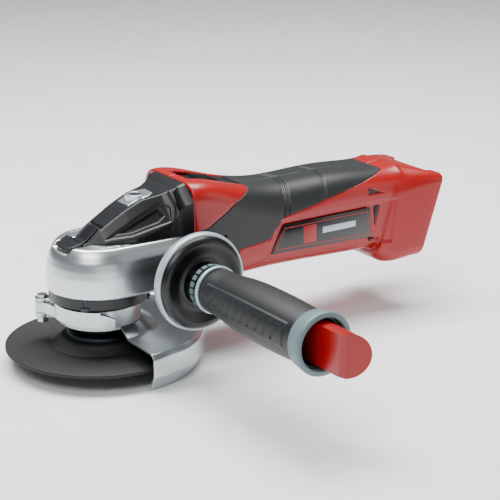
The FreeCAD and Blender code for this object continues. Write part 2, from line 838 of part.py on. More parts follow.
def bearing_flange():
    """Black ring under the head, with the neck that carries the guard."""
    size = spindle_bearing
    top = head_bottom
    body = turned([
        (spindle_mid_r + 1.5, neck_bottom), (neck_r, neck_bottom), (neck_r, ring_bottom),
        (ring_r - 1, ring_bottom), (ring_r, ring_bottom + 1), (ring_r, top),
        (size["outer"], top), (size["outer"], size["start"]),
        (spindle_mid_r + 1.5, size["start"])])
    for x, y in ring_screw_spots():
        body = body.cut(rod(1.9, ring_bottom - 1, top + 1, V(x, y, 0)))
        body = body.cut(rod(3.2, ring_bottom - 1, ring_bottom + 2.6, V(x, y, 0)))
    return body


def bearing_flange_screws():
    screws = []
    for x, y in ring_screw_spots():
        shank = rod(1.65, ring_bottom + 1, head_bottom + 8, V(x, y, 0))
        head = rod(3.0, ring_bottom + 0.2, ring_bottom + 2.6, V(x, y, 0))
        screws.append(shank.fuse(head))
    return solids(screws)


def gear_head_screws():
    """Screws from the motor housing's front wall into the head."""
    screws = []
    for y, z in head_screw_spots():
        shank = rod(head_screw_r, head_end - 14, head_end + front_wall + 1, V(0, y, z), X)
        head = rod(3.4, head_end + front_wall, head_end + front_wall + 3, V(0, y, z), X)
        screws.append(shank.fuse(head))
    return solids(screws)


def spindle_bush():
    return ring(spindle_top_r + slip, bush_r, spindle_top_z - 5, spindle_top_z)


def felt_seal():
    return ring(spindle_mid_r + slip, spindle_mid_r + 1.5, neck_bottom, spindle_bearing["start"] - 0.2)


# ---- head cover ----

cover_sections = [
    # x, then above the motor axis: shoulder and top; half widths of both
    (10.2 - nose_r, 5.5, 8.6, 6.9, 7.4),
    (-11.0, 7.7, 9.2, 9.3, 7.6),
    (-3.0, 10.0, nose_r - 15.2, 15.7, 8.4),
    (14.0, 11.5, nose_r - 8.7, 25.3, 9.2),
    (top_hole_x - 1, 13.5, nose_r - 7.6, 30.1, 9.8),
    (top_hole_x + 11, 17.5, nose_r - 7.2, 32.3, 12.0),
    (head_end - gap, 25.5, nose_r - 7.0, 37.5, 18.0)]


above_cover = motor_z + 50


def cover_form(inset, drop):
    """Ridged cap over the head, taken in by an inset and open below."""
    wires = []
    for x, shoulder, wide, top, narrow in cover_sections:
        low = deck_z - drop
        shoulder = shoulder + motor_z
        top = top + motor_z
        points = [(-wide + inset, low), (-wide + inset, shoulder - inset / 2),
                  (-narrow + inset / 2, top - inset), (narrow - inset / 2, top - inset),
                  (wide - inset, shoulder - inset / 2), (wide - inset, low)]
        loop = [V(x, y, z) for y, z in points]
        wires.append(Part.makePolygon(loop + loop[:1]))
    return Part.makeLoft(wires, True, True)


plate_outline = [
    (top_hole_x - 8.4, -6.0), (top_hole_x + 5, -7.4), (top_hole_x + 10, -4.5),
    (top_hole_x + 10, 4.5), (top_hole_x + 5, 7.4), (top_hole_x - 8.4, 6.0)]
button_front = -lock_pitch_r - 2
button_outline = [(button_front, -5.4), (-2.6, -5.4), (-2.6, 5.4), (button_front, 5.4)]


def grown(outline, amount):
    """Plan outline moved out evenly from its own middle."""
    cx = sum(x for x, y in outline) / len(outline)
    result = []
    for x, y in outline:
        result.append((x + amount * math.copysign(1, x - cx), y + amount * math.copysign(1, y)))
    return result


def gear_cover():
    body = cover_form(0, 0).cut(head_outer())
    hollow_room = box(14.2 - nose_r, head_end + 9, -nose_r, nose_r, deck_z - 10, above_cover)
    body = body.cut(cover_form(cover_wall, 8).common(hollow_room))
    body = body.cut(rod(spring_r + gap, deck_z - 5, button_low + 0.4, V(-lock_pitch_r, 0, 0)))
    recess = plan_prism(plate_outline, deck_z, above_cover).cut(cover_form(sheet, 0))
    body = body.cut(recess)
    body = body.cut(rod(top_boss_r + gap, deck_z, above_cover, V(top_hole_x, 0, 0)))
    return largest(body.cut(plan_prism(grown(button_outline, gap), deck_z, above_cover)))


def top_boss_plate():
    """Bright plate with the third threaded boss for the side handle."""
    plate = plan_prism(grown(plate_outline, -0.1), deck_z, above_cover)
    plate = plate.common(cover_form(0, 0)).cut(cover_form(sheet, 0))
    post = rod(top_boss_r, ridge_top, top_boss_z, V(top_hole_x, 0, 0))
    body = largest(plate).fuse(post)
    return body.cut(rod(handle_hole_r, ridge_top + 2, top_boss_z + 1, V(top_hole_x, 0, 0)))


def lock_button():
    """Push pad in the nose of the cover."""
    body = plan_prism(button_outline, button_low, above_cover)
    lowered = cover_form(0, 0)
    lowered.translate(V(0, 0, 0.6))
    return largest(body.common(lowered))


def lock_pin():
    """Pin that drops into the crown gear."""
    tip = crown_web_z + crown_web_thick + 0.8
    return rod(lock_pin_r, tip, button_low, V(-lock_pitch_r, 0, 0))


def lock_spring():
    return ring(lock_pin_r + 0.4, spring_r, deck_z, button_low, V(-lock_pitch_r, 0, 0))


# ---- guard ----

def guard_shell():
    """Half-round sheet guard: cone, flat plate, skirt and lip."""
    inner = band_r + band_thick
    foot = inner + 9.4
    high = neck_bottom + 1.1
    return turned([
        (inner, high), (foot, guard_top + 0.6), (guard_r - 2.6, guard_top), (guard_r, guard_top - 2.6),
        (guard_r, guard_skirt), (guard_lip_r, guard_lip), (guard_lip_r - sheet, guard_lip + 0.6),
        (guard_r - sheet, guard_skirt + 0.3), (guard_r - sheet, guard_top - 3.2),
        (guard_r - 3.2, guard_top - sheet), (foot, guard_top + 0.6 - sheet), (inner, high - sheet)],
        angle=guard_arc, start=-guard_arc / 2)


def polar(radius, degrees):
    return (radius * math.cos(math.radians(degrees)), radius * math.sin(math.radians(degrees)))


def at_pivot(shape):
    """Move a shape built on +X at the pivot's radius round to the pivot."""
    shape.rotate(ZERO, Z, lever_pivot_turn)
    return shape


pivot_spot = V(*polar(lever_pivot_r, lever_pivot_turn), 0)
pivot_r = 2.0


def guard_band():
    """Clamp band with two ears for the lever."""
    outer = band_r + band_thick
    body = ring(band_r, outer, band_bottom, band_top)
    slit = box(-outer - 2, -band_r + 2, -0.75, 0.75, band_bottom - 1, band_top + 1)
    body = body.cut(slit)
    for low, high in ((band_bottom, lever_bottom - gap), (eye_top + gap, band_top)):
        ear = at_pivot(box(band_r + 0.6, lever_pivot_r, -ear_half, ear_half, low, high))
        eye = rod(eye_r, low, high, pivot_spot)
        ear = ear.fuse(eye).cut(rod(pivot_r, low - 1, high + 1, pivot_spot))
        body = body.fuse(ear)
    return body


def guard_clamp_screw():
    """Pivot screw with a low socket head and a low nut."""
    shank = rod(pivot_r - slip, band_bottom - 1, band_top + 1, pivot_spot)
    head = rod(3.2, band_top, band_top + pivot_head, pivot_spot)
    nut = plan_prism([polar(3.6, 60 * k) for k in range(6)], band_bottom - 2 * pivot_head, band_bottom)
    nut.translate(pivot_spot)
    socket = plan_prism([polar(1.7, 60 * k) for k in range(6)], band_top + 0.4, band_top + 3)
    socket.translate(pivot_spot)
    return shank.fuse(head).fuse(nut).cut(socket)


def guard_lever():
    """Curved quick-clamp lever with an eye on the pivot screw."""
    strip_start = lever_pivot_turn + 18
    strip = turned([(lever_r, lever_bottom), (lever_r + lever_thick, lever_bottom),
                    (lever_r + lever_thick, lever_top), (lever_r, lever_top)],
                   angle=242 - strip_start, start=strip_start)
    eye = rod(eye_r, lever_bottom, eye_top, pivot_spot)
    arm = [(lever_pivot_r + eye_r - 0.2, 1.5), (lever_pivot_r - eye_r + 1, 0.5),
           (lever_r, 16), (lever_r, 26), (lever_r + lever_thick, 26), (lever_r + lever_thick + 1.8, 16)]
    arm = plan_prism([polar(radius, lever_pivot_turn + turn) for radius, turn in arm],
                     lever_bottom, eye_top)
    lip = [(0.2, 241), (0.9, 248), (3.6, 252.6), (8.6, 256.4), (10.2, 255.4), (5.2, 250.6),
           (2.8, 246), (1.8, 241)]
    end = plan_prism([polar(lever_r + out, turn) for out, turn in lip],
                     lever_bottom + 1, lever_top - 1.5)
    body = strip.fuse(eye).fuse(arm).fuse(end)
    return body.cut(rod(pivot_r + slip, lever_bottom - 1, lever_top, pivot_spot))


# ---- side handle ----

handle_origin = V(handle_x, 0, handle_z)


def handle_turned(profile):
    return turned(profile, handle_origin, -Y)


def handle_stud():
    start = handle_boss_y - handle_hole_depth + 2
    stud = rod(handle_hole_r - slip, start, flange_front, handle_origin, -Y)
    return stud.fuse(rod(6.0, flange_front, flange_front + 6, handle_origin, -Y))


def handle_core():
    """Hard core: collar, neck rings and a hollow tube for the spanner."""
    groove_r = grip_neck_r - 1.6
    return handle_turned([
        (handle_hole_r, collar_start), (9.0, collar_start), (9.0, flange_back + 2),
        (grip_neck_r, flange_front - 2), (grip_neck_r, sleeve_start - 10),
        (groove_r, sleeve_start - 9.4), (groove_r, sleeve_start - 7),
        (grip_neck_r, sleeve_start - 6.4), (grip_neck_r, sleeve_start - 4),
        (groove_r, sleeve_start - 3.4), (groove_r, sleeve_start - 1.6),
        (grip_neck_r, sleeve_start - 1), (grip_neck_r, sleeve_start),
        (sleeve_bore_r, sleeve_start), (sleeve_bore_r, tube_start), (tube_r, tube_start + 2),
        (tube_r, sleeve_end), (hollow_r, sleeve_end), (hollow_r, tube_start + 5),
        (hollow_front_r, tube_start + 3), (hollow_front_r, hollow_start), (6.0, hollow_start),
        (6.0, flange_front), (handle_hole_r, flange_front)])


def handle_flange():
    """Dished finger guard."""
    inner = grip_neck_r + slip
    return handle_turned([
        (9.0 + slip, flange_back), (grip_flange_r - 1.4, flange_back),
        (grip_flange_r - 1.4, flange_front - 3), (grip_flange_r - 4, flange_front),
        (grip_flange_r - 8, flange_front - 1.6), (inner + 3, flange_front - 3),
        (inner, flange_front - 2), (9.0 + slip, flange_back + 2)])


def handle_flange_rim():
    return handle_turned([
        (grip_flange_r - 1.4, flange_back - 0.4), (grip_flange_r, flange_back - 0.4),
        (grip_flange_r + 0.5, flange_back + 2.5), (grip_flange_r, flange_back + 5),
        (grip_flange_r - 1.4, flange_back + 5.4)])


def handle_sleeve():
    """Soft sleeve, waisted in front and fullest in the middle."""
    middle = (sleeve_start + sleeve_end) / 2
    return handle_turned([
        (sleeve_bore_r, sleeve_start), (grip_neck_r, sleeve_start), (sleeve_front_r, sleeve_start + 2),
        (sleeve_front_r + 0.2, sleeve_start + 12), (sleeve_mid_r - 0.9, sleeve_start + 28),
        (sleeve_mid_r, middle), (sleeve_mid_r - 0.2, middle + 24), (sleeve_back_r, sleeve_end - 4),
        (sleeve_back_r, sleeve_end), (tube_r, sleeve_end), (tube_r, tube_start + 2),
        (sleeve_bore_r, tube_start)])


def handle_end_ring():
    return handle_turned([
        (hollow_r, sleeve_end), (end_ring_r - 1, sleeve_end), (end_ring_r, sleeve_end + 1),
        (end_ring_r, end_ring_end - 1), (end_ring_r - 1, end_ring_end), (mouth_r, end_ring_end)])


def spanner_handle():
    """Red grip of the pin spanner: a round bar with one flat side and a slanted end."""
    start = sleeve_end - 21
    outline = [(spanner_flat, start), (spanner_flat, spanner_end - 9), (spanner_flat + 2, spanner_end - 5),
               (spanner_r + 1, spanner_end), (spanner_r + 1, start)]
    face = Part.Face(Part.makePolygon([V(x, -tube_r, z) for x, z in outline + outline[:1]]))
    body = face.extrude(V(0, 2 * tube_r, 0)).common(rod(spanner_r, start, spanner_end + 1))
    body = body.cut(box(-blade_half - slip, blade_half + slip, -5 - slip, 5 + slip,
                        start - 1, start + 15))
    return place(body, handle_origin, -Y)


blade_half = 1.25


def spanner_blade():
    """Steel end of the spanner with its two pins."""
    start = hollow_start + 10
    end = sleeve_end - 6
    bar = box(-blade_half, blade_half, -5, 5, start, end)
    for height in (start + 6, start + 6 + 2 * nut_pin_r):
        bar = bar.fuse(rod(2.4, 0, 7.5, V(0, 0, height), X))
    return place(bar, handle_origin, -Y)


# ---- build ----

os.makedirs("parts", exist_ok=True)

outer_form = body_form(0)
grip_floor = body_form(skin)
badge_floor = body_form(badge_skin)
hollow = body_form(case_wall)
left_half, right_half = motor_housing(outer_form, grip_floor, badge_floor, hollow)
pad_left, pad_right = grip_pads(outer_form, grip_floor)
holders, brushes, springs = brush_parts()

spindle_races = bearing(spindle_bearing, ZERO, Z)
front_races = bearing(front_bearing, motor_axis, X)
rear_races = bearing(rear_bearing, motor_axis, X)

save("gear_housing", gear_housing())
save("gear_cover", gear_cover())
save("top_boss_plate", top_boss_plate())
save("bearing_flange", bearing_flange())
save("bearing_flange_screws", bearing_flange_screws())
save("gear_head_screws", gear_head_screws())
save("spindle_bush", spindle_bush())
save("felt_seal", felt_seal())
save("motor_housing_left", largest(left_half))
save("motor_housing_right", largest(right_half))
save("housing_screws", housing_screws())
save("grip_pad_left", pad_left)
save("grip_pad_right", pad_right)
save("side_badges", side_badges(outer_form, badge_floor))
save("fan_baffle", fan_baffle())
save("stator_can", stator_can())
save("stator_magnets", stator_magnets())
save("brush_holders", holders)
save("carbon_brushes", brushes)
save("brush_springs", springs)
save("switch_body", switch_body())
save("control_board", control_board())
save("terminal_block", terminal_block())
save("terminal_blades", terminal_blades())

save("spindle", spindle())
save("crown_gear", crown_gear())
save("inner_flange", inner_flange())
save("grinding_disc", grinding_disc())
save("disc_bush", disc_bush())
save("clamp_nut", clamp_nut())
save("spindle_bearing_outer", spindle_races[0])
save("spindle_bearing_inner", spindle_races[1])
save("spindle_bearing_balls", spindle_races[2])

save("rotor_shaft", rotor_shaft())
save("rotor_core", rotor_core())
save("rotor_windings", rotor_windings())
save("commutator", commutator())
save("cooling_fan", cooling_fan())
save("pinion_gear", pinion_gear())
save("rotor_bearing_outer_races", solids([front_races[0], rear_races[0]]))
save("rotor_bearing_inner_races", solids([front_races[1], rear_races[1]]))
save("rotor_bearing_balls", solids([front_races[2], rear_races[2]]))

save("guard_shell", guard_shell())
save("guard_band", guard_band())
save("guard_clamp_screw", guard_clamp_screw())
save("guard_lever", guard_lever())
save("lock_button", lock_button())
save("lock_pin", lock_pin())
save("lock_spring", lock_spring())
save("slide_button", slide_button())
save("slide_link", slide_link())

save("handle_stud", handle_stud())
save("handle_core", handle_core())
save("handle_flange", handle_flange())
save("handle_flange_rim", handle_flange_rim())
save("handle_sleeve", handle_sleeve())
save("handle_end_ring", handle_end_ring())
save("spanner_handle", spanner_handle())
save("spanner_blade", spanner_blade())
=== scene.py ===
import bmesh
import bpy
import json
import math
import numpy as np
from mathutils import Matrix, Vector


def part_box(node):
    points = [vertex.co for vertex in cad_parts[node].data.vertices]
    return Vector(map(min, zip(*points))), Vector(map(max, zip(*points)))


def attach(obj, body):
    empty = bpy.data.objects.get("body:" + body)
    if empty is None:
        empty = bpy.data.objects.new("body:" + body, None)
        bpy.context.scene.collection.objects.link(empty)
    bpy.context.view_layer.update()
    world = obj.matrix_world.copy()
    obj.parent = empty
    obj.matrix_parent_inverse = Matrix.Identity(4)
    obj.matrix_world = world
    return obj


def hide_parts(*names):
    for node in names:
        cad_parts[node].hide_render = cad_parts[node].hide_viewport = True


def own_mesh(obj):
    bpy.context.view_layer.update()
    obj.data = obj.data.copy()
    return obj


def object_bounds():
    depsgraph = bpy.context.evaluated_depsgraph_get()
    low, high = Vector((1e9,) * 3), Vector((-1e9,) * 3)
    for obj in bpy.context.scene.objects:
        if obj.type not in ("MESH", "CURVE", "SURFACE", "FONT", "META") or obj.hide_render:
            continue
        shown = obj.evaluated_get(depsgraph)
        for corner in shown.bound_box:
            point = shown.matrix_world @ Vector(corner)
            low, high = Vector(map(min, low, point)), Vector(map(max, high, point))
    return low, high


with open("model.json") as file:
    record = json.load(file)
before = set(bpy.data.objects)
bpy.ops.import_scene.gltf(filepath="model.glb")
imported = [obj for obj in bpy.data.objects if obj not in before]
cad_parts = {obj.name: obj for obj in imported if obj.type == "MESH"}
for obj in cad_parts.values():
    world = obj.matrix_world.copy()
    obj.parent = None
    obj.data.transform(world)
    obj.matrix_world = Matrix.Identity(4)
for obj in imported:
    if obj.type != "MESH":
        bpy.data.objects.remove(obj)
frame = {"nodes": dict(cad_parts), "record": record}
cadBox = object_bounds()
nodes = frame["nodes"]
mm = 0.001  # sizes below are in millimetres, and meshes are in metres


def toLinear(hexText):
    # sRGB hex to the linear values that the shader wants
    channels = [int(hexText[k:k + 2], 16) / 255 for k in (0, 2, 4)]
    return [c / 12.92 if c <= 0.04045 else ((c + 0.055) / 1.055) ** 2.4 for c in channels] + [1.0]


def mix(a, b, t):
    return a + (b - a) * t


def smoothTable(x, points):
    # value at x on a smooth curve through (x, value) pairs
    if x <= points[0][0]:
        return points[0][1]
    for k in range(len(points) - 1):
        x0, v0 = points[k]
        x1, v1 = points[k + 1]
        if x <= x1:
            before = points[max(k - 1, 0)]
            after = points[min(k + 2, len(points) - 1)]
            slope0 = (v1 - before[1]) / max(x1 - before[0], 1e-9)
            slope1 = (after[1] - v0) / max(after[0] - x0, 1e-9)
            span = x1 - x0
            t = (x - x0) / span
            return ((2 * t ** 3 - 3 * t ** 2 + 1) * v0 + (t ** 3 - 2 * t ** 2 + t) * span * slope0
                    + (-2 * t ** 3 + 3 * t ** 2) * v1 + (t ** 3 - t ** 2) * span * slope1)
    return points[-1][1]


def roundedPath(corners, steps):
    # line past (x, y, radius) corners with each corner rounded; the ends stay sharp
    points = [Vector(corners[0][:2])]
    for k in range(1, len(corners) - 1):
        here = Vector(corners[k][:2])
        radius = corners[k][2]
        back = Vector(corners[k - 1][:2]) - here
        ahead = Vector(corners[k + 1][:2]) - here
        turn = back.angle(ahead)
        reach = radius / math.tan(turn / 2)
        reach = min(reach, back.length * 0.48, ahead.length * 0.48)
        start = here + back.normalized() * reach
        end = here + ahead.normalized() * reach
        for step in range(steps + 1):
            t = step / steps
            points.append(start.lerp(here, t).lerp(here.lerp(end, t), t))
    points.append(Vector(corners[-1][:2]))
    return points


def finishPiece(piece, body, slotName, replaced=(), smooth=True):
    # finish, shading, body, and the nodes that the piece stands for
    if not piece.data.materials:
        piece.data.materials.append(finishes[slotName])
    for polygon in piece.data.polygons:
        polygon.use_smooth = smooth
    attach(piece, body)
    if replaced:
        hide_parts(*replaced)
    return piece


def gridFaces(rows, columns, closedRows=False, closedColumns=False, offset=0):
    # quads of a grid whose points run row by row
    faces = []
    for r in range(rows if closedRows else rows - 1):
        for c in range(columns if closedColumns else columns - 1):
            a = r * columns + c
            b = r * columns + (c + 1) % columns
            d = ((r + 1) % rows) * columns + c
            e = ((r + 1) % rows) * columns + (c + 1) % columns
            faces.append((a + offset, b + offset, e + offset, d + offset))
    return faces


def turnedMesh(profile, segments, centre, axis, start=0.0, angle=360.0):
    # closed outline of (radius, height) turned about an axis
    axis = Vector(axis).normalized()
    side = Vector((1, 0, 0)) if abs(axis.x) < 0.9 else Vector((0, 0, 1))
    side = (side - axis * side.dot(axis)).normalized()
    other = axis.cross(side)
    full = angle >= 359.9
    count = segments if full else segments + 1
    points = []
    for k in range(count):
        turn = math.radians(start + angle * k / segments)
        out = side * math.cos(turn) + other * math.sin(turn)
        for radius, height in profile:
            points.append(Vector(centre) + out * radius + axis * height)
    faces = gridFaces(count, len(profile), full, True)
    if not full:
        faces.append(tuple(range(len(profile)))[::-1])
        last = (count - 1) * len(profile)
        faces.append(tuple(last + k for k in range(len(profile))))
    return points, faces


def fixNormals(piece):
    shape = bmesh.new()
    shape.from_mesh(piece.data)
    bmesh.ops.remove_doubles(shape, verts=shape.verts, dist=1e-6)
    bmesh.ops.recalc_face_normals(shape, faces=shape.faces)
    shape.to_mesh(piece.data)
    shape.free()
    return piece


def applyModifiers(piece):
    # the evaluated mesh replaces the piece's own, and the modifiers go
    bpy.context.view_layer.update()
    graph = bpy.context.evaluated_depsgraph_get()
    result = bpy.data.meshes.new_from_object(piece.evaluated_get(graph))
    piece.modifiers.clear()
    piece.data = result
    return piece


def rawObject(name, points, faces):
    mesh = bpy.data.meshes.new(name)
    mesh.from_pydata([Vector(p) * mm for p in points], [], faces)
    mesh.validate()
    piece = bpy.data.objects.new(name, mesh)
    bpy.context.scene.collection.objects.link(piece)
    return fixNormals(piece)


def softened(piece, width, segments, angle):
    # bevels the edges that turn by more than an angle in degrees; width in mm
    step = piece.modifiers.new("edge", "BEVEL")
    step.width = width * mm
    step.segments = segments
    step.limit_method = "ANGLE"
    step.angle_limit = math.radians(angle)
    step.harden_normals = False
    return applyModifiers(piece)


# camera: angles in degrees, lengths in metres, lens and sensor in millimetres
viewSizes = {"azimuth": -34, "elevation": 18, "distance": 1.0, "lens": 118.8, "sensor": 36,
             "aimRight": 0.0904, "aimUp": 0.0566, "nearest": 0.05, "farthest": 20}


def makeCamera(sizes):
    turn = math.radians(sizes["azimuth"])
    lift = math.radians(sizes["elevation"])
    forward = Vector((-math.sin(turn) * math.cos(lift), math.cos(turn) * math.cos(lift),
                      -math.sin(lift)))
    right = Vector((math.cos(turn), math.sin(turn), 0))
    up = right.cross(forward)
    data = bpy.data.cameras.new("camera")
    data.lens = sizes["lens"]
    data.sensor_width = sizes["sensor"]
    data.clip_start = sizes["nearest"]
    data.clip_end = sizes["farthest"]
    camera = bpy.data.objects.new("camera", data)
    bpy.context.scene.collection.objects.link(camera)
    camera.matrix_world = Matrix((right, up, -forward)).transposed().to_4x4()
    camera.location = (right * sizes["aimRight"] + up * sizes["aimUp"]
                       - forward * sizes["distance"])
    bpy.context.scene.camera = camera


# soft lights: place, what it aims at, width and height in metres, and power in watts
studioLights = {
    "keyFromLeft": ((-0.9, -0.7, 1.3), (0.03, -0.03, 0.05), (0.9, 0.7), 15),
    "topStrip": ((0.15, 0.25, 1.1), (0.08, 0.0, 0.05), (1.2, 0.6), 36),
    "fillFromRight": ((1.1, -0.9, 0.45), (0.1, -0.05, 0.05), (0.7, 0.9), 2.5),
    "lowFront": ((-0.25, -1.2, 0.15), (0.05, -0.05, 0.03), (1.0, 0.5), 1.5)}
roomSizes = {"colour": "eef1f3", "strength": 0.22, "floorHalf": 3.0, "floorGap": 0.2}


def areaLight(name, place, target, size, power):
    data = bpy.data.lights.new(name, "AREA")
    data.shape = "RECTANGLE"
    data.size = size[0]
    data.size_y = size[1]
    data.energy = power
    light = bpy.data.objects.new(name, data)
    bpy.context.scene.collection.objects.link(light)
    light.location = place
    aim = Vector(target) - Vector(place)
    light.rotation_euler = aim.to_track_quat("-Z", "Y").to_euler()


def makeStudio():
    world = bpy.data.worlds.new("softbox room")
    bpy.context.scene.world = world
    world.use_nodes = True
    sky = world.node_tree.nodes["Background"]
    sky.inputs["Color"].default_value = toLinear(roomSizes["colour"])
    sky.inputs["Strength"].default_value = roomSizes["strength"]
    for name, (place, target, size, power) in studioLights.items():
        areaLight(name, place, target, size, power)


def makeFloor():
    low = cadBox[0][2] - roomSizes["floorGap"] * mm
    half = roomSizes["floorHalf"]
    corners = [(-half, -half, low), (half, -half, low), (half, half, low), (-half, half, low)]
    mesh = bpy.data.meshes.new("floor")
    mesh.from_pydata(corners, [], [(0, 1, 2, 3)])
    floor = bpy.data.objects.new("floor", mesh)
    bpy.context.scene.collection.objects.link(floor)
    mesh.materials.append(madeOf("pale laminate", "f4f5f6", 0.55))


def addNode(tree, kind, settings=None, inputs=None):
    # one node with its settings; an input is a value or another node's socket
    node = tree.nodes.new(kind)
    for key, value in (settings or {}).items():
        setattr(node, key, value)
    for key, value in (inputs or {}).items():
        if isinstance(value, bpy.types.NodeSocket):
            tree.links.new(value, node.inputs[key])
        else:
            node.inputs[key].default_value = value
    return node


def startMaterial(name):
    material = bpy.data.materials.new(name)
    material.use_nodes = True
    tree = material.node_tree
    shader = tree.nodes["Principled BSDF"]
    place = addNode(tree, "ShaderNodeTexCoord").outputs["Object"]
    return material, tree, shader, place


# shared by the plain surfaces: width of the soft tone changes in mm, strength of the bump
surfaceSizes = {"clouding": 22, "relief": 0.35, "coatRoughness": 0.12, "plasticIor": 1.5}


def madeOf(name, colour, roughness, metallic=0.0, grain=0.25, bump=0.03, spread=0.08,
           coat=0.0, sheen=0.0, vary=0.06):
    # moulded, cast or ground surface: grain and bump in millimetres, spread of the gloss,
    # and how much the tone varies from place to place
    material, tree, shader, place = startMaterial(name)
    shader.inputs["Metallic"].default_value = metallic
    shader.inputs["Coat Weight"].default_value = coat
    shader.inputs["Coat Roughness"].default_value = surfaceSizes["coatRoughness"]
    shader.inputs["Sheen Weight"].default_value = sheen
    if metallic == 0:
        shader.inputs["IOR"].default_value = surfaceSizes["plasticIor"]
    fine = addNode(tree, "ShaderNodeTexNoise", None, {
        "Vector": place, "Scale": 1 / (grain * mm), "Detail": 3.0, "Roughness": 0.6})
    broad = addNode(tree, "ShaderNodeTexNoise", None, {
        "Vector": place, "Scale": 1 / (surfaceSizes["clouding"] * mm), "Detail": 2.0,
        "Roughness": 0.5})
    base = toLinear(colour)
    darker = [c * (1 - vary) for c in base[:3]] + [1]
    lighter = [min(c * (1 + vary), 1) for c in base[:3]] + [1]
    tone = addNode(tree, "ShaderNodeMix", {"data_type": "RGBA"}, {
        "Factor": broad.outputs["Fac"], "A": darker, "B": lighter})
    tree.links.new(tone.outputs["Result"], shader.inputs["Base Color"])
    gloss = addNode(tree, "ShaderNodeMapRange", None, {
        "Value": fine.outputs["Fac"], "To Min": roughness - spread, "To Max": roughness + spread})
    tree.links.new(gloss.outputs["Result"], shader.inputs["Roughness"])
    relief = addNode(tree, "ShaderNodeBump", None, {
        "Height": fine.outputs["Fac"], "Strength": surfaceSizes["relief"],
        "Distance": bump * mm})
    tree.links.new(relief.outputs["Normal"], shader.inputs["Normal"])
    return material


# abrasive: grit, finer grit and thread spacing in mm, drawn coarser than the real ones so
# that they show; weave is its share of the tone
abrasiveSizes = {"grit": 0.9, "fine": 0.5, "thread": 11, "wander": 0.4, "weave": 0.35,
                 "dark": "060607", "light": "17181a", "bump": 0.25, "relief": 0.7,
                 "roughness": 0.62}


def abrasiveDisc(s):
    # grit in resin over woven glass fibre: a dull black face with sparkle and a cross weave
    material, tree, shader, place = startMaterial("resin-bonded abrasive")
    grit = addNode(tree, "ShaderNodeTexVoronoi", {"feature": "F1"}, {
        "Vector": place, "Scale": 1 / (s["grit"] * mm)})
    fine = addNode(tree, "ShaderNodeTexNoise", None, {
        "Vector": place, "Scale": 1 / (s["fine"] * mm), "Detail": 4.0})
    along, across = [addNode(tree, "ShaderNodeTexWave", {"bands_direction": way}, {
        "Vector": place, "Scale": 1 / (s["thread"] * mm), "Distortion": s["wander"],
        "Detail": 1.0}) for way in "XY"]
    weave = addNode(tree, "ShaderNodeMath", {"operation": "MAXIMUM"}, {
        0: along.outputs["Fac"], 1: across.outputs["Fac"]})
    shade = addNode(tree, "ShaderNodeMix", {"data_type": "RGBA"}, {
        "Factor": grit.outputs["Distance"], "A": toLinear(s["dark"]), "B": toLinear(s["light"])})
    woven = addNode(tree, "ShaderNodeMix", {"data_type": "RGBA", "blend_type": "MULTIPLY"}, {
        "Factor": s["weave"], "A": shade.outputs["Result"]})
    tree.links.new(weave.outputs[0], woven.inputs["B"])
    tree.links.new(woven.outputs["Result"], shader.inputs["Base Color"])
    height = addNode(tree, "ShaderNodeMath", {"operation": "MULTIPLY_ADD"}, {
        0: weave.outputs[0], 1: 0.5, 2: fine.outputs["Fac"]})
    relief = addNode(tree, "ShaderNodeBump", None, {
        "Height": height.outputs[0], "Strength": s["relief"], "Distance": s["bump"] * mm})
    tree.links.new(relief.outputs["Normal"], shader.inputs["Normal"])
    shader.inputs["Roughness"].default_value = s["roughness"]
    return material


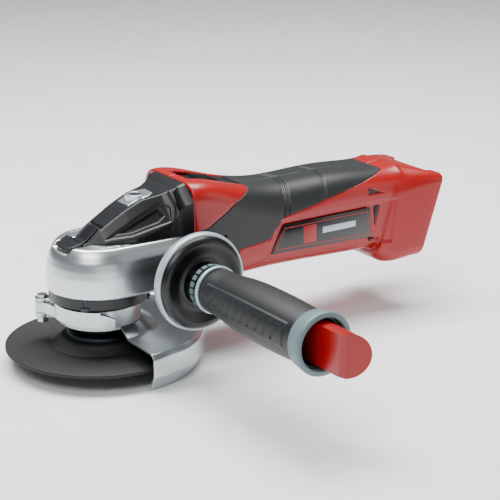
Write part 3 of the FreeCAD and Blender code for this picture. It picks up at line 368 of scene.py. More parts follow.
# each: name, colour, roughness, metallic, grain in mm, bump in mm, gloss spread, and extras
finishes = {
    # shot-blasted die casting: bright satin with a fine tooth and soft highlights
    "cast_head": madeOf("die-cast aluminium", "d3dadc", 0.32, 1.0, 0.35, 0.02, 0.05, vary=0.03),
    # moulded, spark-eroded tool: near black with a faint satin grain
    "black_cover": madeOf("moulded glass-filled nylon", "0a0d11", 0.36, 0, 0.3, 0.03, 0.06),
    # moulded, polished tool: deep red, soft gloss and broad clean highlights
    "red_housing": madeOf("moulded ABS", "9c0004", 0.33, 0, 0.3, 0.02, 0.05, coat=0.15, vary=0.04),
    # overmoulded rubber: charcoal, dull, with a fine skin-like grain
    "soft_grip": madeOf("overmoulded TPE", "090e11", 0.46, 0, 0.45, 0.06, 0.06, sheen=0.06),
    # printed and lacquered film: flat black with mirror-like glints
    "badge_plastic": madeOf("gloss printed plate", "060608", 0.2, 0, 0.3, 0.004, 0.03, coat=0.3),
    # ground: silver with a tight, slightly uneven shine
    "bright_steel": madeOf("ground steel", "b9bec0", 0.28, 1.0, 0.3, 0.01, 0.06, vary=0.03),
    # pressed and plated sheet: pale, cool, softly clouded mirror
    "zinc_steel": madeOf("zinc-plated sheet steel", "c6cfd0", 0.3, 1.0, 0.8, 0.02, 0.06, vary=0.04),
    # hot blackened: dark grey with a dull metal glint
    "dark_steel": madeOf("blackened steel", "3a4447", 0.4, 0.9, 0.4, 0.02, 0.06),
    # pressed disc: dull black, sparkling grit and a faint weave
    "abrasive": abrasiveDisc(abrasiveSizes),
    # moulded: cool mid grey, satin
    "grey_plastic": madeOf("grey moulded polyamide", "63797c", 0.42, 0, 0.35, 0.02, 0.05),
    # sprayed with silver lacquer: pale grey with a light metal sheen
    "bright_plastic": madeOf("silver-lacquered polyamide", "b4c2c6", 0.34, 0.35, 0.3, 0.01, 0.04),
    # moulded: deep black with a soft gloss
    "handle_black": madeOf("black moulded polyamide", "040507", 0.33, 0, 0.3, 0.02, 0.05),
    # moulded, smooth tool: deep red with a clear gloss
    "spanner_red": madeOf("red moulded polypropylene", "940003", 0.3, 0, 0.4, 0.005, 0.02, coat=0.1),
    # wound wire: warm red-brown metal, varnished
    "copper": madeOf("enamelled copper wire", "a4552c", 0.35, 1.0, 0.5, 0.08, 0.06),
    # pressed and fired: flat dark grey, slightly rough
    "magnet": madeOf("sintered ferrite", "2c2d2f", 0.6, 0.2, 0.4, 0.04, 0.06),
    # stacked and pressed: grey metal, dull
    "core_steel": madeOf("stacked lamination steel", "6c6e70", 0.42, 1.0, 0.5, 0.04, 0.06),
    # ground and lapped: nearly mirror bright
    "bearing_steel": madeOf("ground bearing steel", "c2c6c8", 0.2, 1.0, 0.3, 0.005, 0.04),
    # etched and coated: deep green, satin
    "board_green": madeOf("glass-fibre laminate", "14522e", 0.4, 0, 0.4, 0.02, 0.05),
    # stamped and plated: warm gold, smooth
    "contact_brass": madeOf("plated brass", "c8a458", 0.3, 1.0, 0.4, 0.01, 0.05),
    # moulded: soft black, matt
    "fan_plastic": madeOf("moulded black polyamide", "16181a", 0.45, 0, 0.35, 0.02, 0.05),
    # pressed: flat charcoal, powdery
    "carbon": madeOf("pressed carbon", "1c1c1e", 0.6, 0.1, 0.3, 0.04, 0.06),
    # pressed wool: warm grey, soft and without shine
    "felt": madeOf("grey felt", "8b897f", 0.9, 0, 0.3, 0.15, 0.05, sheen=0.3),
    # pressed and fired: brown-gold with a muted shine
    "bronze": madeOf("sintered bronze", "a47f46", 0.42, 1.0, 0.3, 0.03, 0.06),
}


slotOf = {entry["node"]: entry["material_slot"] for entry in frame["record"]["subparts"]}


def dressNodes():
    for name, node in nodes.items():
        node.data.materials.clear()
        node.data.materials.append(finishes[slotOf[name]])


makeCamera(viewSizes)
makeStudio()
makeFloor()
dressNodes()
print("studio and frame ready")


def copyOf(name):
    # merged copy of a CAD node, as a start for a finer piece
    shape = bmesh.new()
    shape.from_mesh(nodes[name].data)
    bmesh.ops.remove_doubles(shape, verts=shape.verts, dist=2e-6)
    mesh = bpy.data.meshes.new(name + "_fine")
    shape.to_mesh(mesh)
    shape.free()
    piece = bpy.data.objects.new(name + "_fine", mesh)
    bpy.context.scene.collection.objects.link(piece)
    return piece


def joined(piece, other):
    # puts another raw mesh into the piece; the remesh makes them one skin
    shape = bmesh.new()
    shape.from_mesh(piece.data)
    shape.from_mesh(other.data)
    shape.to_mesh(piece.data)
    shape.free()
    bpy.data.objects.remove(other)
    return piece


def castSoft(piece, voxel, rounds):
    # rounds every edge a little, as a casting or a moulding has them
    step = piece.modifiers.new("grain", "REMESH")
    step.mode = "VOXEL"
    step.voxel_size = voxel * mm
    ease = piece.modifiers.new("ease", "SMOOTH")
    ease.factor = 0.5
    ease.iterations = rounds
    return applyModifiers(piece)


def thinned(piece, most):
    # keeps a dense skin under a number of triangles
    count = sum(len(p.vertices) - 2 for p in piece.data.polygons)
    if count > most:
        step = piece.modifiers.new("thin", "DECIMATE")
        step.ratio = most / count
        applyModifiers(piece)
    return piece


def pressIn(piece, field):
    # moves points inwards by the depth that field gives for their places (mm) and normals
    count = len(piece.data.vertices)
    places = np.empty(count * 3)
    normals = np.empty(count * 3)
    piece.data.vertices.foreach_get("co", places)
    piece.data.vertices.foreach_get("normal", normals)
    places = places.reshape(-1, 3)
    normals = normals.reshape(-1, 3)
    depth = field(places / mm, normals)
    places = places - normals * depth[:, None] * mm
    piece.data.vertices.foreach_set("co", places.ravel())
    piece.data.update()
    return piece


def fall(distance, half, edge):
    # 1 inside a half width, falling to 0 over the edge
    t = np.clip((half + edge - distance) / edge, 0, 1)
    return t * t * (3 - 2 * t)


def lineDistance(x, z, points):
    # distance to a polyline in a side view
    best = np.full(x.shape, 1e9)
    for (x0, z0), (x1, z1) in zip(points, points[1:]):
        dx, dz = x1 - x0, z1 - z0
        t = np.clip(((x - x0) * dx + (z - z0) * dz) / (dx * dx + dz * dz), 0, 1)
        best = np.minimum(best, np.hypot(x - x0 - t * dx, z - z0 - t * dz))
    return best


def areaDepth(x, z, corners, edge):
    # 1 inside a polygon, falling to 0 at its outline
    inside = np.zeros(x.shape, bool)
    loop = list(corners) + [corners[0]]
    for (x0, z0), (x1, z1) in zip(loop, loop[1:]):
        crossing = ((z0 > z) != (z1 > z)) & (x < (x1 - x0) * (z - z0) / ((z1 - z0) or 1e-9) + x0)
        inside ^= crossing
    t = np.clip(lineDistance(x, z, loop) / edge, 0, 1)
    return np.where(inside, t * t * (3 - 2 * t), 0)


def crisp(piece, width, segments=2, angle=35):
    # machined piece: flats joined, then every sharp edge gets a small bevel
    shape = bmesh.new()
    shape.from_mesh(piece.data)
    bmesh.ops.dissolve_limit(shape, angle_limit=math.radians(1), verts=shape.verts,
                             edges=shape.edges)
    shape.to_mesh(piece.data)
    shape.free()
    softened(piece, width, segments, angle)
    for polygon in piece.data.polygons:
        polygon.use_smooth = True
    piece.modifiers.new("shade", "WEIGHTED_NORMAL")
    return applyModifiers(piece)


# finer pieces whose finish differs from their node's
slotOf.update({"guard_band": "bright_steel", "bearing_flange_screws": "dark_steel",
               "handle_core": "handle_black"})


def standFor(piece, node, body):
    # the finer piece takes over from its node
    return finishPiece(piece, body, slotOf[node], [node])


# gear head casting: its nose wall (radius, height) runs round in front of the cover; the
# marks are strokes (x, y) engraved on the shelf of each side
headSizes = {"voxel": 0.7, "rounds": 7, "most": 180000,
             "nose": [(22.5, 57), (29.7, 57), (29.3, 59.5), (28.2, 62), (26.9, 63.6), (22.5, 63.6)],
             "noseSteps": 24, "noseFrom": 155, "noseTurn": 50, "shelf": 58,
             "marks": [[(-8, 19.5), (3, 21.5)], [(3, 21.5), (0.5, 19.6)], [(6, 21.8), (16, 22.8)]],
             "markDepth": 0.5, "markHalf": 0.25, "markEdge": 0.4}


def makeGearHead(s):
    piece = copyOf("gear_housing")
    nose, faces = turnedMesh(s["nose"], s["noseSteps"], (0, 0, 0), (0, 0, 1),
                             s["noseFrom"], s["noseTurn"])
    joined(piece, rawObject("noseWall", nose, faces))
    castSoft(piece, s["voxel"], s["rounds"])

    def arrows(place, normal):
        x, y, z = place.T
        depth = np.zeros(x.shape)
        for mark in s["marks"]:
            near = fall(lineDistance(x, np.abs(y), mark), s["markHalf"], s["markEdge"])
            depth = np.maximum(depth, near)
        return s["markDepth"] * depth * (normal[:, 2] > 0.6) * (z > s["shelf"])

    pressIn(piece, arrows)
    standFor(thinned(piece, s["most"]), "gear_housing", "housing")


# black cover over the gear head: outlines (x, z) of the ledge and the recess on each flank and
# of its rear seam, half the nose's outline (x, y) with its heights, and the pad round the lock
coverSizes = {"voxel": 0.45, "rounds": 4, "most": 170000,
              "ledge": [(-4, 69.6), (14, 78.5), (35, 87.6), (39.5, 84), (37.5, 76.5), (12, 71.0)],
              "ledgeDepth": 0.8, "ledgeEdge": 0.8,
              "recess": [(2, 72.2), (14, 77.2), (33, 84.6), (35, 80), (30, 77.0), (12, 73)],
              "recessDepth": 2.2, "recessEdge": 1.6,
              "seam": [(40.5, 92), (42.5, 84), (38.5, 72)],
              "seamDepth": 0.6, "seamHalf": 0.3, "seamEdge": 0.4,
              "flankY": 9.6, "flankFoot": 66,
              "padX": -8.0, "padLong": 6.9, "padWide": 6.6, "padDepth": 0.9, "padEdge": 0.6,
              "nose": [(-14.6, 10.0), (-17, 9.9), (-21.5, 8.6), (-24.2, 6.0), (-25.2, 3.0)],
              "noseFoot": 61, "noseTip": 66.0, "noseBack": 69.4}


def coverNose(s):
    # rounded tip that reaches down to the shelf of the casting
    loop = s["nose"] + [(x, -y) for x, y in s["nose"][::-1]]
    back, tip = s["nose"][0][0], s["nose"][-1][0]
    points = [(x, y, s["noseFoot"]) for x, y in loop]
    points += [(x, y, mix(s["noseTip"], s["noseBack"], (x - tip) / (back - tip)))
               for x, y in loop]
    count = len(loop)
    faces = [tuple(range(count)), tuple(range(count, 2 * count))]
    faces += [(k, (k + 1) % count, count + (k + 1) % count, count + k) for k in range(count)]
    return rawObject("coverNose", points, faces)


# collar sections: place along the tool, half width, height of the shoulder, height of the top,
# half width of the top; wall is how far the inside stands back at each of these
collarSizes = {"sections": [(43.0, 24.0, 83.5, 92.6, 15.5), (46.5, 26.6, 85.5, 95.4, 16.8),
                            (50.6, 28.2, 86.6, 97.0, 17.6)],
               "wall": (2, 1.2, 2, 0.6), "foot": 66, "shoulderRound": 4, "topRound": 5,
               "roundSteps": 5, "bevel": 0.4}


def makeCollar(s):
    # black collar that carries the cover out to the red shell
    def outline(half, side, top, topHalf):
        return roundedPath([(-half, s["foot"], 0), (-half, side, s["shoulderRound"]),
                            (-topHalf, top, s["topRound"]), (topHalf, top, s["topRound"]),
                            (half, side, s["shoulderRound"]), (half, s["foot"], 0)],
                           s["roundSteps"])

    points = []
    for x, *sizes in s["sections"]:
        outer = outline(*sizes)
        inner = outline(*[size - wall for size, wall in zip(sizes, s["wall"])])
        points += [(x, p.x, p.y) for p in outer] + [(x, p.x, p.y) for p in inner[::-1]]
    rows = len(s["sections"])
    count = len(points) // rows
    faces = gridFaces(rows, count, False, True)
    faces += [tuple(range(count)), tuple(range((rows - 1) * count, rows * count))[::-1]]
    piece = crisp(rawObject("cover_collar", points, faces), s["bevel"], 2, 50)
    finishPiece(piece, "housing", "black_cover")


def makeCover(s):
    piece = castSoft(joined(copyOf("gear_cover"), coverNose(s)), s["voxel"], s["rounds"])

    def hollows(place, normal):
        x, y, z = place.T
        outward = normal[:, 1] * np.sign(y) > 0.15
        side = (np.abs(y) > s["flankY"]) & outward & (z > s["flankFoot"])
        depth = s["ledgeDepth"] * areaDepth(x, z, s["ledge"], s["ledgeEdge"])
        depth = depth + s["recessDepth"] * areaDepth(x, z, s["recess"], s["recessEdge"])
        line = fall(lineDistance(x, z, s["seam"]), s["seamHalf"], s["seamEdge"])
        depth = depth + s["seamDepth"] * line
        beside = np.maximum(np.abs(x - s["padX"]) - s["padLong"], np.abs(y) - s["padWide"])
        pad = fall(beside, 0.4, s["padEdge"]) * (normal[:, 2] > 0.5) * (z > 62)
        return np.where(side, depth, s["padDepth"] * pad)

    pressIn(piece, hollows)
    standFor(thinned(piece, s["most"]), "gear_cover", "housing")


# motor housing halves, outlines (x, z) on the flank: sunk panel for the badge, a seam, and
# three sunk triangles with dark plates in them; the vent's plate is painted shade for its opening
bodySizes = {"voxel": 0.75, "rounds": 4, "most": 190000, "flankY": 20,
             "panel": [(111, 66), (205, 65.6), (201, 36.5), (103, 40.2)],
             "panelDepth": 0.9, "panelEdge": 1.3,
             "seam": [(92.4, 31), (92.4, 34.1), (101.4, 40.9), (105.1, 48)],
             "seamDepth": 0.5, "seamHalf": 0.25, "seamEdge": 0.4,
             "darkTriangles": {"vent": [(182.6, 75.4), (182.4, 69.9), (196, 70.2)],
                        "wedge": [(187.2, 62.4), (192.4, 62.6), (188.2, 47.5)],
                        "notch": [(183.5, 41.8), (190, 40), (184.5, 38.6)]},
             "triangleDepth": 2.2, "triangleEdge": 0.9}


def makeHousing(s):
    for node in ("motor_housing_left", "motor_housing_right"):
        piece = castSoft(copyOf(node), s["voxel"], s["rounds"])

        def details(place, normal):
            x, y, z = place.T
            side = (np.abs(y) > s["flankY"]) & (normal[:, 1] * np.sign(y) > 0.1)
            depth = s["panelDepth"] * areaDepth(x, z, s["panel"], s["panelEdge"])
            line = fall(lineDistance(x, z, s["seam"]), s["seamHalf"], s["seamEdge"])
            depth = np.maximum(depth, s["seamDepth"] * line)
            for corners in s["darkTriangles"].values():
                depth = depth + s["triangleDepth"] * areaDepth(x, z, corners, s["triangleEdge"])
            return np.where(side, depth, 0)

        pressIn(piece, details)
        standFor(thinned(piece, s["most"]), node, "housing")


# soft grip skins with grooves moulded across them: where each groove crosses the top, how far
# it leans forward down the flank, and how far from the motor's axis it stops
gripSizes = {"voxel": 0.42, "rounds": 4, "most": 120000,
             "crossings": (126.0, 129.2, 157.0), "grooveDepth": 1.0, "grooveHalf": 0.45,
             "grooveEdge": 0.5, "leanAcross": 0.26, "leanDown": 0.12, "crown": 84,
             "lowest": 50, "axisZ": 58.5, "skinRadius": 23.5}


def makeGrip(s):
    for node in ("grip_pad_left", "grip_pad_right"):
        piece = castSoft(copyOf(node), s["voxel"], s["rounds"])

        def grooves(place, normal):
            x, y, z = place.T
            lean = s["leanAcross"] * np.abs(y) + s["leanDown"] * np.clip(s["crown"] - z, 0, 40)
            depth = np.zeros(x.shape)
            for start in s["crossings"]:
                near = fall(np.abs(x - start + lean), s["grooveHalf"], s["grooveEdge"])
                depth = np.maximum(depth, near)
            outward = (normal[:, 2] > 0.05) | (np.abs(normal[:, 1]) > 0.3)
            outside = np.hypot(y, z - s["axisZ"]) > s["skinRadius"]
            return s["grooveDepth"] * depth * outward * (z > s["lowest"]) * outside

        pressIn(piece, grooves)
        standFor(thinned(piece, s["most"]), node, "housing")


# badge plates, outlines (x, z): gloss black with a thin red inner line, a plain red block and a
# plain pale bar; out is how far the outer face stands from the middle plane
badgeSizes = {"outline": [(115.6, 61.9), (183.6, 62.1), (184.2, 42.6), (107.0, 44.4)],
              "out": 27.15, "thick": 0.7, "bevel": 0.15, "inset": 2.0, "line": 0.55,
              "block": [(131, 58.6), (141, 58.6), (141, 47.2), (131, 47.2)],
              "bar": [(146, 55.6), (172, 55.6), (172, 51.6), (146, 51.6)],
              "raised": 0.12, "barRaised": 0.1, "filmThick": 0.3, "filmBevel": 0.04,
              # dark plates set in the sunk triangles; the vent's plate is painted shade for the dark
              # inside of its opening
              "darkPlateOut": {"vent": 25.6, "wedge": 26.2, "notch": 26.2}, "darkPlateThick": 1.2,
              "darkPlateInset": 0.35, "darkPlateBevel": 0.1}


def shrunk(corners, amount):
    # the same outline with every side moved inwards
    result = []
    for k, corner in enumerate(corners):
        here = Vector(corner)
        back = (Vector(corners[k - 1]) - here).normalized()
        ahead = (Vector(corners[(k + 1) % len(corners)]) - here).normalized()
        across = (back + ahead).normalized()
        half = back.angle(ahead) / 2
        result.append(tuple(here + across * (amount / math.sin(half))))
    return result


def sidePlate(name, corners, out, thick, sign, slotName, bevel, hole=None):
    # flat plate on a flank, with an optional opening that makes it a frame
    count = len(corners)
    rings = [corners] if hole is None else [corners, hole]
    points = []
    for ring in rings:
        for depth in (out, out - thick):
            points += [(x, sign * depth, z) for x, z in ring]
    faces = []
    if hole is None:
        faces = [tuple(range(count)), tuple(range(count, 2 * count))[::-1]]
        faces += [(k, (k + 1) % count, count + (k + 1) % count, count + k) for k in range(count)]
    else:
        for k in range(count):
            n = (k + 1) % count
            faces += [(k, n, 2 * count + n, 2 * count + k),
                      (count + k, 3 * count + k, 3 * count + n, count + n),
                      (k, count + k, count + n, n),
                      (2 * count + k, 2 * count + n, 3 * count + n, 3 * count + k)]
    piece = rawObject(name, points, faces)
    softened(piece, bevel, 2, 40)
    return finishPiece(piece, "housing", slotName)


def makeBadges(s):
    inner = shrunk(s["outline"], s["inset"])
    innermost = shrunk(s["outline"], s["inset"] + s["line"])
    raised = s["out"] + s["raised"]
    for sign, sideName in ((-1, "left"), (1, "right")):
        sidePlate("badge_" + sideName, s["outline"], s["out"], s["thick"], sign,
                                "badge_plastic", s["bevel"])
        sidePlate("badge_line_" + sideName, inner, raised, s["filmThick"], sign,
                  "red_housing", s["filmBevel"], innermost)
        sidePlate("badge_mark_" + sideName, s["block"], raised, s["filmThick"], sign,
                  "red_housing", s["filmBevel"])
        sidePlate("badge_bar_" + sideName, s["bar"], s["out"] + s["barRaised"], s["filmThick"],
                  sign, "bright_plastic", s["filmBevel"])
        # a dark plate at the floor of each sunk triangle; in the vent it is painted shade, a dark
        # sheet where the opening shows its inside
        for tag, corners in bodySizes["darkTriangles"].items():
            sidePlate("black_" + tag + "_" + sideName, shrunk(corners, s["darkPlateInset"]),
                      s["darkPlateOut"][tag], s["darkPlateThick"], sign, "black_cover",
                      s["darkPlateBevel"])
    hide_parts("side_badges")


# grinding disc, points are (radius, height): fine pressed rings on both faces, a depressed
# centre that the flange sits in
discSizes = {"ringsFrom": 31.0, "ringsTo": 56.4, "pitch": 1.5, "pointsApart": 0.375,
             "height": 0.28, "faceLevel": 2.2, "thick": 2.5, "segments": 180,
             "hub": [(11.15, 7.4), (22.6, 7.4), (23.6, 7.2), (24.2, 6.7), (28.2, 2.75), (29.2, 2.25)],
             "rim": [(57.1, 2.3), (57.45, 2.0), (57.45, 0.5), (57.1, 0.2)],
             "hubUnder": [(28.0, 0.3), (27.2, 0.6), (23.0, 4.7), (22.2, 4.9), (11.15, 4.9)]}


def makeDisc(s):
    rings = []
    width = s["ringsTo"] - s["ringsFrom"]
    steps = int(width / s["pointsApart"])
    for k in range(steps + 1):
        radius = s["ringsFrom"] + width * k / steps
        wave = 0.5 - 0.5 * math.cos(2 * math.pi * (radius - s["ringsFrom"]) / s["pitch"])
        rings.append((radius, s["faceLevel"] + s["height"] * wave))
    under = [(radius, s["thick"] - level) for radius, level in rings[::-1]]
    outline = s["hub"] + rings + s["rim"] + under + s["hubUnder"]
    points, faces = turnedMesh(outline, s["segments"], (0, 0, 0), (0, 0, 1))
    standFor(rawObject("grinding_disc_fine", points, faces), "grinding_disc", "output_spindle")


# guard: pressed sheet over half a turn; its section is corners of (radius, height, bend)
guardSizes = {"arc": 180, "segments": 120, "bendSteps": 5, "bevel": 0.3,
              "outside": [(24.95, 18.4, 0), (34, 13.2, 7), (60.5, 12.7, 2), (63.25, 9.6, 2.6),
                          (63.25, -1.3, 2.4), (58.9, -9.9, 0)],
              "inside": [(24.95, 16.7, 0), (34, 11.7, 6), (60.1, 11.2, 1), (61.75, 9.2, 1.6),
                         (61.75, -1.0, 2), (57.6, -9.3, 0)]}


def makeGuard(s):
    outside = roundedPath(s["outside"], s["bendSteps"])
    inside = roundedPath(s["inside"], s["bendSteps"])
    section = [tuple(p) for p in outside + inside[::-1]]
    points, faces = turnedMesh(section, s["segments"], (0, 0, 0), (0, 0, 1), -s["arc"] / 2, s["arc"])
    piece = crisp(rawObject("guard_shell_fine", points, faces), s["bevel"], 2, 50)
    standFor(piece, "guard_shell", "guard")


# machined and stamped pieces: node, bevel in mm, body
crispList = [
    ("inner_flange", 0.5, "output_spindle"), ("clamp_nut", 0.45, "output_spindle"),
    ("spindle", 0.3, "output_spindle"), ("guard_band", 0.35, "guard"),
    ("guard_clamp_screw", 0.3, "guard"), ("guard_lever", 0.4, "clamp_lever"),
    ("bearing_flange", 0.7, "housing"), ("bearing_flange_screws", 0.25, "housing"),
    ("spanner_handle", 0.9, "pin_spanner"), ("spanner_blade", 0.25, "pin_spanner"),
    ("housing_screws", 0.3, "housing"), ("terminal_block", 0.4, "housing"),
    ("terminal_blades", 0.15, "housing")]


def makeCrisp():
    for node, width, body in crispList:
        standFor(crisp(copyOf(node), width), node, body)


# soft-edged small mouldings: node, voxel in mm, rounds of smoothing, body
smallSoft = [("top_boss_plate", 0.3, 3, "housing"), ("lock_button", 0.25, 4, "spindle_lock"),
             ("slide_button", 0.25, 4, "switch_slide")]
smallMost = 60000  # triangles


def makeSmallSoft():
    for node, voxel, rounds, body in smallSoft:
        piece = thinned(castSoft(copyOf(node), voxel, rounds), smallMost)
        standFor(piece, node, body)


# lock spring: wire in mm, turns, steps in a turn and round the wire, and the travel that
# the button presses it by
springSizes = {"wire": 0.7, "turns": 5, "perTurn": 24, "around": 8, "travel": 3.0}


def makeLockSpring(s):
    # a wound coil that fills the box of the spring node, from its lower end to its top
    low, high = [[value / mm for value in corner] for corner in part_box("lock_spring")]
    middle = [(low[axis] + high[axis]) / 2 for axis in range(3)]
    thick = s["wire"] / 2
    radius = (high[0] - low[0]) / 2 - thick
    height = high[2] - low[2]
    steps = s["turns"] * s["perTurn"]
    points = []
    for step in range(steps + 1):
        turn = 2 * math.pi * step / s["perTurn"]
        level = low[2] + thick + (height - 2 * thick) * step / steps
        for corner in range(s["around"]):
            angle = 2 * math.pi * corner / s["around"]
            reach = radius + thick * math.cos(angle)
            points.append((middle[0] + reach * math.cos(turn), middle[1] + reach * math.sin(turn),
                           level + thick * math.sin(angle)))
    faces = gridFaces(steps + 1, s["around"], closedColumns=True)
    faces += [tuple(range(s["around"])), tuple(range(len(points) - s["around"], len(points)))]
    spring = rawObject("lock_spring_coil", points, faces)
    standFor(spring, "lock_spring", "housing")
    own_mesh(spring)


def newTree(name, inputs):
    # geometry tree with named inputs, and the group's input and output nodes
    tree = bpy.data.node_groups.new(name, "GeometryNodeTree")
    tree.interface.new_socket("Geometry", in_out="OUTPUT", socket_type="NodeSocketGeometry")
    sockets = {}
    for key, value in inputs.items():
        kind = ("NodeSocketInt" if isinstance(value, int) else
                "NodeSocketVector" if isinstance(value, tuple) else "NodeSocketFloat")
        sockets[key] = tree.interface.new_socket(key, in_out="INPUT", socket_type=kind)
    return tree, addNode(tree, "NodeGroupInput"), addNode(tree, "NodeGroupOutput"), sockets


def grown(name, tree, sockets, values, body, slotName):
    # evaluates a tree to a plain mesh on its own piece
    piece = bpy.data.objects.new(name, bpy.data.meshes.new(name))
    bpy.context.scene.collection.objects.link(piece)
    step = piece.modifiers.new("grow", "NODES")
    step.node_group = tree
    for key, value in values.items():
        step[sockets[key].identifier] = value
    applyModifiers(piece)
    shape = bmesh.new()
    shape.from_mesh(piece.data)
    bmesh.ops.recalc_face_normals(shape, faces=shape.faces)
    shape.to_mesh(piece.data)
    shape.free()
    return finishPiece(piece, body, slotName, (), False)


def endTree(tree, output, geometry, slotName):
    real = addNode(tree, "GeometryNodeRealizeInstances", None, {"Geometry": geometry})
    painted = addNode(tree, "GeometryNodeSetMaterial", None, {
        "Geometry": real.outputs[0], "Material": finishes[slotName]})
    tree.links.new(painted.outputs[0], output.inputs[0])


def ringTree(slotName):
    # small blocks spaced round a circle about the Y axis
    values = {"Count": 24, "Radius": 0.01, "Block": (0.002, 0.002, 0.002), "Centre": (0.0, 0.0, 0.0)}
    tree, start, output, sockets = newTree("ring of blocks", values)
    circle = addNode(tree, "GeometryNodeMeshCircle", None, {
        "Vertices": start.outputs["Count"], "Radius": start.outputs["Radius"]})
    block = addNode(tree, "GeometryNodeMeshCube", None, {"Size": start.outputs["Block"]})
    place = addNode(tree, "GeometryNodeInputPosition")
    turn = addNode(tree, "FunctionNodeAlignRotationToVector", {"axis": "X"}, {
        "Vector": place.outputs[0]})
    spread = addNode(tree, "GeometryNodeInstanceOnPoints", None, {
        "Points": circle.outputs[0], "Instance": block.outputs[0], "Rotation": turn.outputs[0]})
    stand = addNode(tree, "GeometryNodeTransform", None, {
        "Geometry": spread.outputs[0], "Translation": start.outputs["Centre"],
        "Rotation": (math.pi / 2, 0, 0)})
    endTree(tree, output, stand.outputs[0], slotName)
    return tree, sockets


def rowTree(slotName):
    # a straight row of slim ribs from one place to another
    values = {"Count": 6, "First": (0.0, 0.0, 0.0), "Last": (0.0, 0.0, 0.0),
              "Rib": (0.002, 0.002, 0.002), "Turn": (0.0, 0.0, 0.0)}
    tree, start, output, sockets = newTree("row of ribs", values)
    line = addNode(tree, "GeometryNodeMeshLine", {"mode": "END_POINTS"}, {
        "Count": start.outputs["Count"], "Start Location": start.outputs["First"],
        "Offset": start.outputs["Last"]})
    rib = addNode(tree, "GeometryNodeMeshCube", None, {"Size": start.outputs["Rib"]})
    spread = addNode(tree, "GeometryNodeInstanceOnPoints", None, {
        "Points": line.outputs[0], "Instance": rib.outputs[0], "Rotation": start.outputs["Turn"]})
    endTree(tree, output, spread.outputs[0], slotName)
    return tree, sockets


# side handle, turned about a line along Y: profiles are (radius, distance from the middle
# plane), and the neck teeth are small blocks as (round, along the radius, along the handle)
handleSizes = {
    "axisX": 38.0, "axisZ": 47.5, "segments": 144, "coreBevel": 0.35,
    "flange": [(9.05, 49.9), (27.6, 49.9), (27.85, 50.2), (27.85, 55.4), (27.3, 56.2), (26.2, 57.6),
               (24.8, 58.4), (23.6, 58.3), (21.6, 57.2), (18.5, 55.9), (16.0, 55.4), (14.4, 55.9),
               (13.4, 56.6), (12.65, 56.8), (12.65, 56.5), (9.05, 51.9)],
    "rim": [(27.9, 49.5), (28.9, 49.5), (29.35, 49.9), (29.7, 51.2), (29.78, 52.4), (29.7, 53.6),
            (29.3, 54.7), (28.7, 55.2), (27.9, 55.2)],
    "endRing": [(14.7, 164.6), (16.2, 164.6), (16.7, 165.0), (17.1, 167.5), (17.8, 172.5),
                (18.0, 174.6), (17.7, 175.3), (17.1, 175.68), (15.6, 175.68), (14.9, 175.5),
                (14.72, 175.0)],
    "neckBand": [(12.7, 69.6), (14.1, 69.7), (14.35, 70.2), (14.35, 71.4), (14.0, 71.9),
                 (12.7, 71.9)],
    "teeth": 20, "teethY": 64.6, "teethRadius": 12.9, "tooth": (1.3, 2.9, 3.0)}
# sleeve: waisted line of (distance, radius), a raised panel on two sides with slanted strokes
# cut in it; angles in degrees, the rest in mm
sleeveSizes = {
    "start": 72.0, "end": 164.4, "rowsApart": 0.45, "columns": 264,
    "line": [(72, 12.7), (73, 13.6), (75.5, 14.05), (84, 14.2), (92, 15.1), (100, 16.05),
             (112, 16.8), (121, 17.0), (134, 17.0), (146, 16.75), (157, 16.3), (162, 16.1),
             (163.6, 15.9), (164.4, 15.4)],
    "panelTurn": 168, "panelHalf": 27, "panelFrom": 78, "panelTo": 159, "panelRise": 0.7,
    "panelEdge": 0.9, "margin": 3, "strokes": 10, "strokesFrom": 86, "strokePitch": 7.2,
    "strokeScale": 7.6, "strokeSlant": 0.13, "strokeHalf": 0.5, "strokeEdge": 0.4,
    "strokeDepth": 0.7, "strokeInset": 11, "stepFrom": 34, "stepTo": 36,
    "hollow": 14.65, "bore": 11.55}


def handleLathe(name, profile, s):
    points, faces = turnedMesh(profile, s["segments"], (s["axisX"], 0, s["axisZ"]), (0, -1, 0))
    return rawObject(name, points, faces)


def sleeveRadius(s, y, angle):
    # outer radius at a distance along the sleeve and an angle round it
    base = smoothTable(y, s["line"])
    signed = (angle - s["panelTurn"] + 90) % 180 - 90
    across = abs(signed)
    along = min(y - s["panelFrom"], s["panelTo"] - y)
    edge = min((s["panelHalf"] - across) * base * math.pi / 180, along)
    rise = s["panelRise"] * min(max(edge / s["panelEdge"], 0), 1)
    groove = 0.0
    if edge > s["margin"]:
        stroke = (y - s["strokesFrom"] + s["strokeSlant"] * signed) / s["strokePitch"]
        near = abs(stroke - round(stroke)) * s["strokeScale"]
        inRow = 0 <= round(stroke) < s["strokes"]
        if inRow and across < s["panelHalf"] - s["strokeInset"]:
            ramp = (s["strokeHalf"] + s["strokeEdge"] - near) / s["strokeEdge"]
            groove = s["strokeDepth"] * min(max(ramp, 0), 1)
    return base - s["panelRise"] + rise - groove


def makeSleeve(s, axisX, axisZ):
    rows = int((s["end"] - s["start"]) / s["rowsApart"])
    columns = s["columns"]
    points = []

    def addRow(y, radiusAt):
        for column in range(columns):
            turn = 2 * math.pi * column / columns
            radius = radiusAt(360 * column / columns)
            points.append((axisX + radius * math.cos(turn), -y, axisZ + radius * math.sin(turn)))

    for row in range(rows + 1):
        y = mix(s["start"], s["end"], row / rows)
        addRow(y, lambda angle: sleeveRadius(s, y, angle))
    inner = len(points)
    for y, radius in ((s["end"], s["hollow"]), (s["start"] + s["stepTo"], s["hollow"]),
                      (s["start"] + s["stepFrom"], s["bore"]), (s["start"], s["bore"])):
        addRow(y, lambda angle: radius)
    faces = gridFaces(rows + 1, columns, False, True)
    faces += gridFaces(4, columns, False, True, inner)
    lastRow = rows * columns
    innerLast = inner + 3 * columns
    for column in range(columns):
        n = (column + 1) % columns
        faces.append((lastRow + column, lastRow + n, inner + n, inner + column))
        faces.append((column, n, innerLast + n, innerLast + column))
    standFor(rawObject("handle_sleeve_fine", points, faces), "handle_sleeve", "housing")


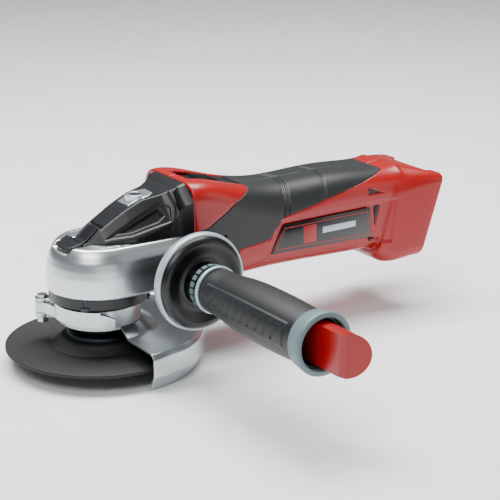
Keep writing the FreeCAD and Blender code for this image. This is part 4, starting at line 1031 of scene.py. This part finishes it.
def makeHandle(s):
    makeSleeve(sleeveSizes, s["axisX"], s["axisZ"])
    standFor(handleLathe("handle_flange_fine", s["flange"], s), "handle_flange", "housing")
    standFor(handleLathe("handle_flange_rim_fine", s["rim"], s), "handle_flange_rim", "housing")
    standFor(crisp(copyOf("handle_core"), s["coreBevel"]), "handle_core", "housing")
    standFor(handleLathe("handle_end_ring_fine", s["endRing"], s), "handle_end_ring", "housing")
    finishPiece(handleLathe("neck_band", s["neckBand"], s), "housing", "bright_plastic")
    tree, sockets = ringTree("grey_plastic")
    grown("neck_teeth_0", tree, sockets, {
        "Count": s["teeth"], "Radius": s["teethRadius"] * mm,
        "Block": tuple(size * mm for size in s["tooth"]),
        "Centre": (s["axisX"] * mm, -s["teethY"] * mm, s["axisZ"] * mm)}, "housing", "grey_plastic")


# slide switch: raised ribs across the button, which leans with the hump's slope (degrees)
switchSizes = {"x": 75.6, "z": 91.0, "lean": 10.7, "ribs": 7, "first": -8.5, "last": 3.5,
               "rib": (0.7, 13, 1.0), "proud": 0.3}


def makeSwitchRibs(s):
    lean = math.radians(s["lean"])

    def at(along, up):
        return ((s["x"] + along * math.cos(lean) + up * math.sin(lean)) * mm, 0.0,
                (s["z"] - along * math.sin(lean) + up * math.cos(lean)) * mm)

    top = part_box("slide_button")[1][2] / mm
    rise = (top - s["z"]) / 2 + s["proud"]
    tree, sockets = rowTree("dark_steel")
    grown("slide_ribs", tree, sockets, {
        "Count": s["ribs"], "First": at(s["first"], rise), "Last": at(s["last"], rise),
        "Rib": tuple(size * mm for size in s["rib"]), "Turn": (0.0, lean, 0.0)},
        "switch_slide", "dark_steel")


makeGearHead(headSizes)
makeCover(coverSizes)
makeCollar(collarSizes)
print("gear head and cover ready")
makeHousing(bodySizes)
makeGrip(gripSizes)
makeBadges(badgeSizes)
print("motor housing ready")
makeDisc(discSizes)
makeGuard(guardSizes)
makeCrisp()
makeSmallSoft()
makeLockSpring(springSizes)
print("disc, guard and fittings ready")
makeHandle(handleSizes)
makeSwitchRibs(switchSizes)
print("side handle and switch ready")
